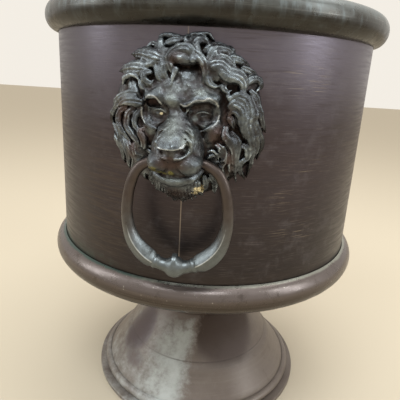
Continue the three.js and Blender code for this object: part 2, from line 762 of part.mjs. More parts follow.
addPiece('rim_roll', rollRim(), PATINA);
addPiece('body_wall', bodyWall(), PATINA);
addPiece('base_bead', rollBead(), PATINA);
addPiece('bottom_pan', bottomPan(), PATINA);
addPiece('stem_trumpet', trumpet(), PATINA);
addPiece('stem_collar', collar(), PATINA);
addPiece('foot_bell', footBell(), PATINA);
addPiece('foot_bead', footBead(), PATINA);
addPiece('foot_flange', footFlange(), PATINA);
drawBolt();
for (const side of ['front', 'rear']) {
  addPiece(`lion_mask_${side}`, lionMask(side), MASK_BRONZE);
  addPiece(`ring_${side}`, hangingRing(side), MASK_BRONZE);
  for (const [level, height] of Object.entries(SCREW_HEIGHTS)) {
    addPiece(`mask_screw_${side}_${level}`, maskScrew(height, side), STEEL);
    addPiece(`mask_washer_${side}_${level}`, maskWasher(height, side), STEEL);
  }
}

export default group;
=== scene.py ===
"""Looks of the jardiniere: smooth turned sheet, cast lion masks and rings, and their patina.

Lengths are in millimetres until a mesh is made, which is in metres.
"""
import math

import bmesh
import bpy
import numpy as np
import openvdb
from mathutils import Matrix, Vector

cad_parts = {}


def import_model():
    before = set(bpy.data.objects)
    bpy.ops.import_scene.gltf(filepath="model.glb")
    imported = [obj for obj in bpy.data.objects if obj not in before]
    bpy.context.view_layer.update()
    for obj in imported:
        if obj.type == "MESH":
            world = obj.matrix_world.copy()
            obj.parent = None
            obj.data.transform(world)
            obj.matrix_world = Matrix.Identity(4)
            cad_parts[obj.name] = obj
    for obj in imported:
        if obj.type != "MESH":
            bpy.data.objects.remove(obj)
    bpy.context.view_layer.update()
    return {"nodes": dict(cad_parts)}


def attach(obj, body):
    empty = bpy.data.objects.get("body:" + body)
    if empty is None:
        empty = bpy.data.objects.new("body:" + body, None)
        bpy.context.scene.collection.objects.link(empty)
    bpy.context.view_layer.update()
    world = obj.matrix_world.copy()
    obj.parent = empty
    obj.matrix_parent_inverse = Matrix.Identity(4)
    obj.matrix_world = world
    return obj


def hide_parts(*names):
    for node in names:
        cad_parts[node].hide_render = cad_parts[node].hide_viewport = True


MM = 0.001

# Overall sizes, the same as the solids
TOTAL_HEIGHT = 417.0
BODY_RADIUS = 160.0
FLANGE_RADIUS = 125.5
PEDESTAL_SHARE = 0.4185
SEAM_GAP = 0.3
HOLE_CLEARANCE = 0.4
PIN_CLEARANCE = 0.4
TURNED_SEGMENTS = 144
ROLL_OUTER_STEPS = 44
ROLL_INNER_STEPS = 28
HALF_ROUND_STEPS = 20
WALL_ROWS = 24

# Edges sharper than these angles stay hard
SHEET_CREASE = 38
RING_CREASE = 60
CASTING_CREASE = 180

# Body wall and rolled rim
WALL_SHEET = 1.6
RIM_SHEET = 1.4
RIM_HALF_WIDTH = 11.5
RIM_HALF_HEIGHT = 13.5
RIM_CENTRE_Z = TOTAL_HEIGHT - RIM_HALF_HEIGHT
RIM_CREST_ALLOWANCE = 1.3
WALL_INNER_RADIUS = BODY_RADIUS - WALL_SHEET
WALL_TOP_Z = TOTAL_HEIGHT - RIM_SHEET - RIM_CREST_ALLOWANCE

# Base bead and bottom pan
BEAD_INSET = 3.6
BEAD_CENTRE_RADIUS = BODY_RADIUS - BEAD_INSET
BEAD_CENTRE_Z = TOTAL_HEIGHT * PEDESTAL_SHARE
BEAD_HALF_SIZE = 14.0
BEAD_SHEET = 1.4
BEAD_LIP_ANGLE = -2.04
WALL_TUCK = 5
WALL_BOTTOM_Z = BEAD_CENTRE_Z - WALL_TUCK
PAN_SHEET = 1.6
PAN_LAP = 10.6
PAN_EDGE_Z = BEAD_CENTRE_Z - PAN_LAP
PAN_FLANGE_HEIGHT = 17.0
PAN_FLANGE_RADIUS = WALL_INNER_RADIUS - SEAM_GAP
PAN_LEDGE = 10
PAN_BEND = 2.5
PAN_BEND_LOW = 0.4
PAN_BEND_HIGH = 2.9
PAN_DISH_WIDTH = 42
PAN_FLOOR_RADIUS = BODY_RADIUS - PAN_DISH_WIDTH
PAN_DEPTH = 21.5
PAN_FLOOR_UNDERSIDE_Z = BEAD_CENTRE_Z - PAN_DEPTH
WELL_RADIUS = 32.0
WELL_DRAFT = 4.0
WELL_DEPTH = 12
WELL_UNDERSIDE_Z = PAN_FLOOR_UNDERSIDE_Z - WELL_DEPTH
TIDE_SHARE = 0.62
TIDE_RADIUS = BODY_RADIUS * TIDE_SHARE

# Foot
FLANGE_WIDTH = 22.5
FLANGE_INNER_RADIUS = FLANGE_RADIUS - FLANGE_WIDTH
FLANGE_THICKNESS = 4.6
FLANGE_ROUND = 0.9
FLANGE_ROUND_TOP = 1.8
FOOT_BEAD_DEPTH = 6.0
FOOT_BEAD_HEIGHT = 9.4
SPUN_SHEET = 1.6
FLANGE_LEDGE = 13
BELL_SKIRT_RADIUS = FLANGE_RADIUS - FLANGE_LEDGE
BELL_SKIRT_Z = FLANGE_THICKNESS + SEAM_GAP
BELL_SHOULDER_Z = BELL_SKIRT_Z + FOOT_BEAD_HEIGHT + SEAM_GAP
BELL_NECK_RADIUS = 56.5
BELL_HEIGHT_SHARE = 0.5215
BELL_TOP_Z = BEAD_CENTRE_Z * BELL_HEIGHT_SHARE
BELL_FLARE = 1.12
BELL_STEP = 1.2
BELL_STEP_RISE = 3.0
BELL_STEP_SHARE = 0.42
BELL_STEP_EDGE = 0.012
BELL_STEP_LIP = 0.3
BELL_LOW_STEPS = 9
BELL_HIGH_STEPS = 13
BELL_END_SHARE = 0.985
BELL_ROUND = 0.8
BELL_SKIRT_BEND = 1.0
BELL_SKIRT_INSET = 0.3
STEP_LINE_Z = 48.2
BOLT_RADIUS = 5.0
BOLT_HOLE_RADIUS = BOLT_RADIUS + HOLE_CLEARANCE
COLLAR_PROUD = 5.5
COLLAR_RADIUS = BELL_NECK_RADIUS + COLLAR_PROUD
COLLAR_SEAT_RADIUS = BELL_NECK_RADIUS - SEAM_GAP
COLLAR_SEAT_WIDTH = 8.0
COLLAR_WEB_INSET = 12.5
COLLAR_WEB_RADIUS = BELL_NECK_RADIUS - COLLAR_WEB_INSET
COLLAR_HEIGHT = 15.0
COLLAR_WEB = 4.5
COLLAR_BOTTOM_Z = BELL_TOP_Z + SEAM_GAP
COLLAR_TOP_Z = COLLAR_BOTTOM_Z + COLLAR_HEIGHT
TRUMPET_SHRINK = 2.5
TRUMPET_NECK_RADIUS = BELL_NECK_RADIUS - TRUMPET_SHRINK
TRUMPET_SPREAD = 34.0
TRUMPET_FLARE = 2.2
TRUMPET_BRIM = 6.0
TRUMPET_STEPS = 12
TRUMPET_LIP = 8.0
TRUMPET_BOTTOM_Z = COLLAR_TOP_Z + SEAM_GAP
TRUMPET_TOP_Z = PAN_FLOOR_UNDERSIDE_Z - SEAM_GAP

# Lion masks, which share the wall's curve at their backs
BODY_HEIGHT = RIM_CENTRE_Z - BEAD_CENTRE_Z
MASK_RADIUS = BODY_HEIGHT * 0.2577
MASK_CENTRE_Z = BEAD_CENTRE_Z + BODY_HEIGHT * 0.653
MASK_BACK_RADIUS = BODY_RADIUS + SEAM_GAP
SIDES = {"front": 1, "rear": -1}

# The mask's grid, the averages that its material reads, and casting waves as spacing and amount
CLAY_LOW = (-66, -68, -1.5)
CLAY_HIGH = (66, 66, 55)
CLAY_STEP = 0.55
FINE_REACH = 1.1
BROAD_REACH = 4.4
CASTING_SEED = 11
CASTING_WAVES = ((7.0, 0.3), (2.6, 0.17))

# The mane: its locks, their fine lines, the cushion below them and the hollows between
FACE_MIDDLE = (0.0, -4.0)
LOCK_FILL = 1.14
LOCK_BLEND = 1.1
LOCK_ROLL = 0.3
LOCK_STEPS = 5
LOCK_ROOT_FULLNESS = 0.55
LOCK_SWELL = 2.2
LOCK_TAPER = 2.6
LOCK_POINT = 0.8
LOCK_TIP = 0.1
LOCK_THICKNESS = 0.8
LOCK_THICKENING = 0.26
LOCK_ROOTING = 2.5
LINE_HALF_WIDTH = 1.1
LINE_DEPTH = 0.72
DOME_EDGE = 3.0
DOME_RISE = 19.0
DOME_POWER = 2.2
HOLLOW_REACH = 2.6
HOLLOW_DEPTH = 0.4
BEARD_HAIRS = 7
BEARD_SPACING = 2.15

# Rings, and the pins that they swing on
PIVOT_Z = MASK_CENTRE_Z - MASK_RADIUS * 0.483
PIVOT_REACH = BODY_RADIUS + MASK_RADIUS * 0.339
PIN_RADIUS = MASK_RADIUS * 0.0593
PIN_END_X = MASK_RADIUS * 0.203
BORE_LENGTH = MASK_RADIUS * 0.46
BORE_STEPS = 9
MOUTH_HALF_WIDTH = MASK_RADIUS * 0.3136
RING_HALF_WIDTH = MASK_RADIUS * 0.6525
RING_DROP = MASK_RADIUS * 1.407
RING_LINE_STEPS = 400
RING_STATIONS = 260
RING_CROWDING = 1.35
RING_SIDES = 28
RING_RANGE = (-8, 165)
RING_SWEEP_STEPS = 19
RING_CLEARANCE = 0.45
RING_CLEARED_DROP = MASK_RADIUS
RING_CLEARED_EVERY = 3
RIDGE_POWER = 0.75
RIDGE_SWELL = 0.06
RIDGE_SHIFT = 0.22
RIDGE_WEAR_AND_HIGHLIGHT_POWER = 40
BALL_TIP = 0.42
BALL_TIP_WIDTH = 0.06

# The crisp lines of the face, as x, z and height from the wall
LEFT_BROW = ((-25.6, 15.2, 20.5), (-22.4, 18, 24), (-17, 17.8, 26), (-14, 15.2, 26.2), (-12, 12.8, 25.6))
RIGHT_BROW = (
    (1.9, 14, 29.6), (4.6, 12.9, 28.8), (7, 13.6, 28.6), (9.6, 15.9, 28.2), (13.4, 17.2, 27.4),
    (16.8, 17, 26.6), (19.8, 18.6, 25), (23.8, 16.6, 21.8), (26, 13.4, 18.6),
)
LEFT_RIM = (
    (-26.2, 16, 20), (-28.6, 9, 17.6), (-28.2, 2.8, 18.4), (-25.8, -1, 20), (-21.6, -4, 21.6),
    (-17, -4.6, 22),
)
RIGHT_RIM = (
    (26.4, 13, 18), (26.8, 7, 18), (25.8, 2.2, 19), (22.8, -0.6, 20.8), (18.2, -3.2, 22.4),
    (15, -4.2, 22.6),
)
NOSE_EDGE = ((-10.6, -12, 44), (-6.5, -13.2, 48), (0, -13.8, 51), (5.4, -12.8, 50), (8.4, -10.4, 46))
RIGHT_WING = ((7.6, -5, 40.6), (10.6, -8.4, 41.4), (11.8, -12.6, 41), (10, -17, 42), (6.4, -20, 43.4))
# Lines painted paler on the mask: wear, and a painted highlight on these crisp edges
WEAR_AND_HIGHLIGHT_LINES = (LEFT_BROW, RIGHT_BROW, LEFT_RIM[1:4], RIGHT_RIM[1:4], NOSE_EDGE)
WEAR_AND_HIGHLIGHT_HALF_WIDTH = 0.65
WEAR_AND_HIGHLIGHT_STEPS = 40

# Tints on the mask: each spot's x, z, half width, half height and strength
TINTS = {
    "tint_brown": (
        (-26, -10, 6, 8, 1.0), (27, -8, 8, 9, 1.0), (0, -24, 14, 7, 0.9), (-2, -20.6, 7, 2.6, 1.0),
        (-20, 13.5, 6, 2.6, 1.0), (-44, 4, 8, 12, 0.9), (-36, -22, 7, 14, 0.7), (-4, 42, 9, 7, 0.6),
        (33, 6, 5, 10, 0.8), (36, -26, 6, 14, 0.8), (14, 38, 7, 6, 0.6), (22, -30, 5, 5, 0.8),
        (0, -51, 18, 7, 0.75),
    ),
    # Pale spots on the nose, forehead, cheeks and lip: weathered patina and a painted highlight on faces
    # turned to the light
    "tint_pale_wear_and_highlight": (
        (-2, -1, 7, 9, 0.9), (-5, 17, 5, 5, 1.0), (0, 24, 16, 6, 0.5), (15, 22, 7, 4, 0.8),
        (9.5, -9, 4.6, 8, 1.2), (10, 4, 2.5, 3, 0.9), (-22, -7, 4, 3, 0.9), (18, -1, 7, 3, 0.6),
        (0, -37, 13, 2.4, 0.8), (14, -27, 4, 3, 0.5),
    ),
    "tint_green": (
        (-13, -29, 3.4, 2.2, 1.0), (-8, -32, 3.6, 1.8, 1.0), (-1, -31.5, 2.6, 1.6, 0.9),
        (17, -38, 2.2, 1.8, 0.6),
    ),
    # Two spots where bare brass shows through, and a painted glint on the left eye
    "tint_gold_and_glint": ((16, -47.4, 4, 3.6, 1.0), (13.2, -50.4, 3, 2.6, 0.9), (-14.2, 5.7, 1.1, 0.8, 1.4)),
}

# Half of the ring's centre line, as shares of its half width and of its drop
RING_BOW = (
    (0.78, 0.078),
    (0.94, 0.253),
    (1, 0.506),
    (0.896, 0.735),
    (0.65, 0.886),
    (0.338, 0.97),
    (0, 1),
)

# The ring's section: distance from its ball and radius, as shares of the mask's, and how ridged
RING_PROFILE = (
    (0, 0.136, 0),
    (0.045, 0.131, 0),
    (0.09, 0.108, 0),
    (0.125, 0.089, 0.1),
    (0.19, 0.083, 0.2),
    (0.235, 0.086, 0.2),
    (0.25, 0.1, 0.2),
    (0.275, 0.1, 0.2),
    (0.29, 0.091, 0.3),
    (0.32, 0.112, 0.8),
    (0.37, 0.124, 1),
    (0.48, 0.122, 1),
    (0.64, 0.108, 0.9),
    (0.86, 0.084, 0.5),
    (1.1, 0.072, 0.15),
    (1.5, 0.069, 0),
    (2.2, 0.0593, 0),
)

# The mane's locks, root to tip: width, strands, and stations as x, z and lift above the cushion
LOCKS = {
    "crown_cup_outer": (4.2, 1, (
        (-1.7, 57.1, 1), (-10.4, 58.4, 2), (-18.3, 58.1, 2.5), (-17.5, 52.9, 3), (-13.7, 48.9, 4),
        (-8.4, 48.7, 5), (-5.2, 51.1, 5),
    )),
    "crown_cup_under": (4.0, 1, ((-20.5, 51.7, 1), (-17.4, 48.2, 2.5), (-11.8, 45.7, 4), (-7.4, 48, 6))),
    "crown_cup_leaf": (4.6, 2, ((-12.7, 53.1, 2.5), (-8.5, 54.5, 3), (-4.5, 55.1, 2), (-1.1, 57.4, 1))),
    "crown_arch_outer": (3.0, 1, (
        (3.4, 51.6, 4), (0, 57, 2.5), (3.8, 59.9, 2), (10, 60.5, 2), (14.9, 60.7, 2), (17, 58.3, 1.5),
        (19.1, 56.5, 1),
    )),
    "crown_arch_middle": (3.0, 1, (
        (6.4, 50.3, 5), (4, 55.7, 3.5), (7.4, 57.7, 3), (11.7, 58.6, 3), (14.7, 57.5, 2),
    )),
    "crown_arch_inner": (4.6, 2, (
        (13.4, 41.7, 5), (9.6, 47.8, 6), (7.4, 53, 5), (10.1, 55.5, 4), (13.3, 55.2, 3.5),
        (17.5, 53.2, 2.5),
    )),
    "crown_small_leaf": (3.2, 2, ((-19.4, 51.6, 2), (-25, 52.7, 2), (-30.5, 49.2, 0.5))),
    "forelock_left": (6.6, 2, (
        (4.3, 43.7, 7), (4.7, 48.4, 9), (-0.9, 49.7, 8.5), (-6.2, 47, 7.5), (-8.8, 42.4, 6),
        (-7.1, 36.8, 4.5), (-4.3, 29.8, 2),
    )),
    "forelock_right": (5.4, 2, (
        (5.9, 48.2, 8), (10.8, 45.3, 7.5), (14.3, 41.7, 7), (16.3, 36, 5.5), (15.8, 30.9, 3.5),
        (14.2, 26.2, 1.5),
    )),
    "forelock_side_a": (5.0, 2, ((-14.6, 44, 3), (-12.3, 38.4, 4), (-11.6, 33.3, 3.5), (-7.6, 28.4, 2))),
    "forelock_side_b": (5.2, 2, (
        (-18.2, 40.3, 2.5), (-17, 34.8, 3), (-15.2, 30.4, 3), (-10.8, 26.4, 1.5),
    )),
    "left_leaf_top": (9.5, 4, ((-16, 42.3, 3), (-23, 44.3, 3.5), (-31.3, 45.9, 2.5), (-42.3, 45.3, 0))),
    "left_leaf_top_roll": (4.0, 1, (
        (-18, 39.6, 2.5), (-22.9, 38.7, 4), (-28.2, 37.1, 4), (-29.5, 33.1, 2.5),
    )),
    "left_leaf_middle": (8.5, 4, (
        (-26.6, 35.2, 3.5), (-34.2, 36.2, 3.5), (-42.1, 35.3, 2.5), (-52.7, 32.8, 0),
    )),
    "left_cup_rim": (3.2, 1, (
        (-46, 24.6, 0), (-44.1, 28.2, 2), (-38.7, 30.9, 4), (-34, 30.5, 4.5), (-30.7, 27.6, 3.5),
    )),
    "left_cup_body": (7.0, 3, (
        (-38.3, 26.5, -1), (-36.5, 22.5, 0.5), (-33.4, 18.6, 1), (-28.6, 14.1, 0),
    )),
    "left_curl_small": (4.6, 2, (
        (-21.8, 33.4, 3), (-26, 32.6, 4.5), (-26.2, 28.6, 4), (-22, 26.5, 3), (-19.3, 28.3, 2.5),
    )),
    "left_temple_a": (3.6, 2, ((-29.9, 26.3, 3), (-27.4, 23.1, 2.5), (-23.8, 21.3, 1))),
    "left_temple_b": (3.4, 2, ((-23.5, 26, 3), (-21.4, 23.5, 2), (-17.9, 22.3, 0.5))),
    "left_cap_a": (6.0, 3, ((-32.9, 18, 2.5), (-39.7, 17.5, 3), (-47.8, 14.6, 2), (-56.9, 8.2, 0))),
    "left_cap_b": (6.0, 3, ((-28.3, 12.9, 3), (-34.7, 13.4, 4), (-42, 12.4, 3.5), (-49.6, 8.3, 2))),
    "left_far_outer": (3.8, 2, ((-48.5, 10.8, 0), (-54.9, 4.8, 0), (-60.4, -3.2, 0), (-54.7, -9.6, 0))),
    "left_side_a": (5.0, 3, (
        (-41.8, 7.9, -1), (-48.3, 3.6, 1), (-48.7, -4.5, 1.5), (-43.7, -11.2, 1.5), (-37.9, -16.5, 0),
    )),
    "left_side_b": (5.4, 3, (
        (-34.6, 7.9, -1), (-40, 3.2, 1), (-40.5, -5.4, 2), (-35.4, -11.3, 2.5), (-31.5, -16.1, 1.5),
        (-33.6, -22.7, 0),
    )),
    "left_side_c": (4.8, 3, (
        (-28.7, 8.5, -1), (-33.3, 2.5, 1), (-33.5, -3.9, 1.5), (-29.1, -8.3, 2), (-26.4, -13.9, 1.5),
    )),
    "left_jaw_a": (5.0, 3, (
        (-24.9, -5.2, 0), (-28.9, -8.2, 2.5), (-26.3, -12.9, 3), (-25.9, -18.2, 2), (-29.7, -24.9, 1.5),
        (-30.7, -32.5, 0),
    )),
    "left_outer_low": (4.8, 3, (
        (-54.5, -7.2, 0), (-48.5, -12.8, 1.5), (-48.1, -19.8, 1.5), (-46.7, -27.7, 1), (-48.2, -36.8, 0),
    )),
    "left_outer_tip": (3.2, 2, ((-58.1, -14, 0), (-53.6, -18.1, 0.5), (-50.8, -25.8, 0))),
    "left_low_a": (5.2, 3, (
        (-46.6, -13.4, 0), (-43.3, -20.3, 1.5), (-40.5, -27.7, 1.5), (-41.8, -38.8, 0),
    )),
    "left_low_b": (5.0, 3, (
        (-40.7, -16.2, 0), (-37.4, -22.2, 2), (-35.3, -29.1, 1.5), (-39.4, -40.8, 0),
    )),
    "left_low_c": (4.6, 3, (
        (-34.3, -17.5, 0), (-33.3, -23.1, 2), (-31.7, -29.2, 1.5), (-34.6, -38.4, 0),
    )),
    "right_top_a": (5.0, 3, ((14.5, 48.2, 4), (18.6, 51.8, 4), (23.3, 53.4, 3), (27.7, 53.3, 1.5))),
    "right_top_b": (6.0, 3, (
        (17.7, 43.9, 5), (20.4, 49.2, 5.5), (25.9, 50.7, 4.5), (31.1, 48.9, 3), (35.2, 47, 1),
    )),
    "right_top_knob": (4.0, 1, ((29.3, 51, 1), (32.7, 51, 1.5))),
    "right_band": (4.2, 2, (
        (19.2, 41.4, 4), (22.2, 45.1, 5.5), (27.3, 45.8, 5.5), (32.1, 42.8, 5), (36.7, 37.9, 3),
    )),
    "right_cap_a": (7.0, 3, (
        (18.2, 36.2, 3), (20.9, 39.5, 6.5), (26.1, 40.4, 7.5), (31.6, 36.9, 7), (38.1, 35.4, 5.5),
        (42.4, 31.6, 4), (43.9, 25.7, 2),
    )),
    "right_cap_b": (6.5, 3, (
        (22.2, 38.3, 5), (27, 37.3, 7), (31.3, 33.7, 7.5), (36.5, 32.7, 7), (40.7, 29.6, 6),
        (41.7, 24.3, 4), (39.2, 21.5, 2.5),
    )),
    "right_cap_curl": (4.4, 2, (
        (20.2, 38.2, 5), (18.2, 34.2, 4), (18.9, 29.1, 3.5), (22.3, 26.7, 3), (26.2, 26.9, 2),
    )),
    "right_cap_heart": (7.0, 1, ((23, 35.2, 3.5), (24, 30.7, 3.5))),
    "right_leaf_a": (6.0, 3, ((30.3, 44.8, 2), (35, 44.5, 2.5), (39.6, 43.3, 1.5), (43.9, 41.3, 0))),
    "right_leaf_b": (4.6, 2, ((40.2, 38.9, 2), (45, 37.5, 1.5), (51.2, 34.4, 0))),
    "right_leaf_c": (4.6, 2, (
        (43.9, 29, 2), (47, 32.2, 2.5), (51.5, 32, 1.5), (53.6, 28, 1), (51.1, 24.5, 0.5),
    )),
    "right_temple_curl": (3.6, 2, ((29.2, 29.6, 2), (28.3, 25.7, 3), (31.2, 23.2, 3), (34.3, 24.6, 2))),
    "right_temple_low": (3.4, 1, ((31.2, 21.8, 2), (33.5, 19.3, 3), (37.4, 20.1, 2.5))),
    "right_ear_outer": (6.4, 3, (
        (34.3, 17.4, 3), (38.8, 20.3, 4.5), (44.4, 17.8, 5), (47.4, 10.3, 4.5), (47.1, 2, 4),
        (49.2, -6.7, 3), (51.4, -16.7, 2.5), (51.5, -27.7, 1.5), (49.1, -40.4, 0),
    )),
    "right_ear_middle": (4.4, 2, (
        (33.3, 13.3, 3), (37.2, 15.6, 5), (42.2, 12.4, 5.5), (44.1, 5.6, 5), (43.9, -0.8, 4),
        (45.8, -8.2, 2),
    )),
    "right_ear_inner": (3.6, 2, (
        (33.6, 8.6, 2.5), (36.9, 10.8, 3.5), (40.5, 7.5, 4), (42.1, 0.6, 3.5), (44.4, -8.2, 1.5),
    )),
    "right_ear_lobe": (4.4, 2, ((33.7, 7.1, 1.5), (36, 3.1, 1.5), (37.7, -1.9, 0.5))),
    "right_far_outer": (5.0, 3, (
        (47.1, 23.8, 2), (51.4, 18.4, 2), (54.3, 10, 1.5), (56.9, 2, 1), (60.2, -5.4, 0),
    )),
    "right_outer_b": (5.6, 3, (
        (47.6, 18.4, 3), (50.8, 10.2, 3), (50.7, 3.2, 2.5), (55.4, -5.9, 1.5), (58.5, -15.1, 1),
        (55.8, -26.2, 0),
    )),
    "right_outer_c": (4.4, 2, ((51.4, -1.3, 1), (53.5, -8.7, 1.5), (55, -16.7, 1), (52.8, -27, 0))),
    "right_jaw_a": (5.4, 3, (
        (32.1, -1.4, 0), (32.7, -6.6, 3), (36.5, -11.5, 3.5), (39, -18.1, 3), (39.5, -27.5, 2),
        (41.4, -44.6, 0),
    )),
    "right_jaw_b": (5.0, 3, (
        (35.7, -4.1, 0), (39.7, -9.5, 2.5), (41.2, -16.8, 2.5), (41, -24.5, 2), (44.1, -39.2, 0),
    )),
    "right_jaw_c": (4.6, 3, (
        (26.8, -13.4, 1), (30.6, -16.7, 2.5), (32.3, -23.5, 2), (30.5, -30.5, 1.5), (33.5, -37.5, 0),
    )),
    "right_low_roll": (4.6, 2, (
        (44.7, -13.5, 1), (48.6, -17.2, 2.5), (48.4, -23.4, 2.5), (45, -26.3, 2), (43.9, -32.2, 1),
        (47.7, -42.1, 0),
    )),
    "right_low_b": (4.4, 2, ((35.4, -18.5, 1), (36.6, -26, 1.5), (36.9, -36, 0))),
    "beard_left_a": (4.6, 2, ((-19, -36.2, 0), (-21.2, -42.1, 1), (-21.2, -49.6, 0))),
    "beard_left_b": (4.6, 2, ((-14.8, -38.5, 1), (-17.3, -45.7, 1), (-18.2, -54.1, 0))),
    "beard_right_a": (4.6, 2, ((18.6, -37.4, 0), (19.8, -43.8, 1), (17.4, -51.5, 0))),
    "beard_right_b": (4.6, 2, ((23.5, -35.7, 0), (26.5, -43.1, 0.5), (25.6, -54.3, -1))),
}

# The camera, solved from the photograph's outlines
IMAGE_SIDE = 400.0
SENSOR_WIDTH = 36.0
CAMERA_AZIMUTH = math.radians(6.7)
CAMERA_DISTANCE = 459.25
CAMERA_Z = RIM_CENTRE_Z - 45.18
CAMERA_PITCH = 0.283
CAMERA_ROLL = 0.056
CAMERA_YAW = -0.015
FOCAL_PIXELS = 398.17
CENTRE_OFFSET_PIXELS = (0.34, -10.54)

# The studio
BACKDROP_COLOUR = (0.95, 0.90, 0.82, 1)
BACKDROP_STRENGTH = 0.95
WORLD_FRONT = 0.12
WORLD_FRONT_SPAN = (-0.85, 0.35)
WORLD_SIDE = 1.0
WORLD_ABOVE = 0.5
WORLD_ABOVE_SPAN = (0.1, 0.8)
FLOOR_COLOUR = (0.50, 0.44, 0.34)
FLOOR_ROUGHNESS = 0.9
FLOOR_REACH = 6.0

# The lamps: place, target and size in metres, power in watts, and colour
LAMPS = {
    "key": ((-0.1, -0.9, 1.6), (0, 0, 0.25), (1.1, 0.5), 15, (0.9, 0.96, 1.0)),
    "right": ((1.3, -0.4, 0.9), (0, 0, 0.3), (0.4, 0.9), 7.5, (0.92, 0.97, 1.0)),
    "left": ((-1.3, -0.4, 0.9), (0, 0, 0.3), (0.4, 0.9), 6, (0.92, 0.97, 1.0)),
    "top": ((0.2, 0.3, 1.6), (0, 0, 0.3), (1.4, 1.2), 12, (1, 1, 1)),
}


def add_object(name, data):
    thing = bpy.data.objects.new(name, data)
    bpy.context.scene.collection.objects.link(thing)
    return thing


def new_piece(name, vertices, faces, body, node):
    """Makes a mesh in metres that rides on a body and stands for a CAD node."""
    mesh = bpy.data.meshes.new(name)
    mesh.from_pydata([tuple(MM * c for c in v) for v in vertices], [], faces)
    mesh.validate()
    piece = add_object(name, mesh)
    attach(piece, body)
    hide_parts(node)
    return piece


def keep_values(piece, layers):
    """Keeps a value at each vertex under each name, for the material to read."""
    for name, values in layers.items():
        layer = piece.data.attributes.new(name, "FLOAT", "POINT")
        layer.data.foreach_set("value", values.astype(np.float32))


def shade(piece, crease_degrees=SHEET_CREASE):
    """Smooth shading that keeps the hard edges hard."""
    limit = math.radians(crease_degrees)
    build = bmesh.new()
    build.from_mesh(piece.data)
    bmesh.ops.recalc_face_normals(build, faces=build.faces)
    for face in build.faces:
        face.smooth = True
    for edge in build.edges:
        if len(edge.link_faces) == 2 and edge.calc_face_angle() > limit:
            edge.smooth = False
    build.to_mesh(piece.data)
    build.free()


def turned(name, section, node, segments=TURNED_SEGMENTS):
    """Revolves a closed section of (radius, height) points about the Z axis."""
    count = len(section)
    vertices = []
    faces = []
    for step in range(segments):
        turn = 2 * math.pi * step / segments
        for radius, height in section:
            vertices.append((radius * math.cos(turn), radius * math.sin(turn), height))
    for step in range(segments):
        here = step * count
        there = ((step + 1) % segments) * count
        for i in range(count):
            j = (i + 1) % count
            faces.append((here + i, there + i, there + j, here + j))
    piece = new_piece(name, vertices, faces, "pot", node)
    shade(piece)
    return piece


def arc(centre, half_width, half_height, start, end, steps):
    """Points along an oval arc from one angle to another."""
    points = []
    for i in range(steps):
        angle = start + (end - start) * i / (steps - 1)
        radius = centre[0] + half_width * math.cos(angle)
        points.append((radius, centre[1] + half_height * math.sin(angle)))
    return points


def half_round(centre, depth, half_height):
    """The outer half of an oval, from its bottom to its top."""
    return arc(centre, depth, half_height, -math.pi / 2, math.pi / 2, HALF_ROUND_STEPS)


def rolled_section(centre, half_width, half_height, sheet, start, end):
    """The section of a roll of sheet, slit between the end and the start."""
    outer = arc(centre, half_width, half_height, start, end, ROLL_OUTER_STEPS)
    inner = arc(centre, half_width - sheet, half_height - sheet, end, start, ROLL_INNER_STEPS)
    return outer + inner


def slit_angle(centre_radius, half_width, sheet, radius):
    return math.acos((radius - centre_radius) / (half_width - sheet))


def sheet_section(outline, thickness):
    """Gives an open outline a thickness, to the left of its direction."""
    points = [np.array(p, dtype=float) for p in outline]
    offset = []
    for i, point in enumerate(points):
        sides = []
        if i > 0:
            sides.append(point - points[i - 1])
        if i < len(points) - 1:
            sides.append(points[i + 1] - point)
        normals = [np.array((-s[1], s[0])) / np.hypot(*s) for s in sides]
        before, after = normals[0], normals[-1]
        mitre = (before + after) * thickness / (1 + before @ after)
        offset.append(tuple(point + mitre))
    return list(outline) + offset[::-1]


def smooth_outline(outline, rounds=2):
    """Cuts the corners of an open outline, keeping its ends."""
    points = [np.array(p, dtype=float) for p in outline]
    for _ in range(rounds):
        cut = [points[0]]
        for a, b in zip(points, points[1:]):
            cut.append(0.75 * a + 0.25 * b)
            cut.append(0.25 * a + 0.75 * b)
        cut.append(points[-1])
        points = cut
    return [tuple(p) for p in points]


def rim_roll():
    slit_out = slit_angle(BODY_RADIUS, RIM_HALF_WIDTH, RIM_SHEET, BODY_RADIUS + SEAM_GAP)
    slit_in = slit_angle(BODY_RADIUS, RIM_HALF_WIDTH, RIM_SHEET, WALL_INNER_RADIUS - SEAM_GAP)
    centre = (BODY_RADIUS, RIM_CENTRE_Z)
    end = 2 * math.pi - slit_in
    section = rolled_section(centre, RIM_HALF_WIDTH, RIM_HALF_HEIGHT, RIM_SHEET, -slit_out, end)
    return turned("rim_roll_smooth", section, "rim_roll")


def base_bead():
    lip = slit_angle(BEAD_CENTRE_RADIUS, BEAD_HALF_SIZE, BEAD_SHEET, BODY_RADIUS + SEAM_GAP)
    centre = (BEAD_CENTRE_RADIUS, BEAD_CENTRE_Z)
    section = rolled_section(centre, BEAD_HALF_SIZE, BEAD_HALF_SIZE, BEAD_SHEET, BEAD_LIP_ANGLE, lip)
    return turned("base_bead_smooth", section, "base_bead")


def body_wall():
    tall = WALL_TOP_Z - WALL_BOTTOM_Z
    heights = [WALL_BOTTOM_Z + tall * i / WALL_ROWS for i in range(WALL_ROWS + 1)]
    outer = [(BODY_RADIUS, z) for z in heights]
    inner = [(WALL_INNER_RADIUS, z) for z in reversed(heights)]
    return turned("body_wall_smooth", outer + inner, "body_wall")


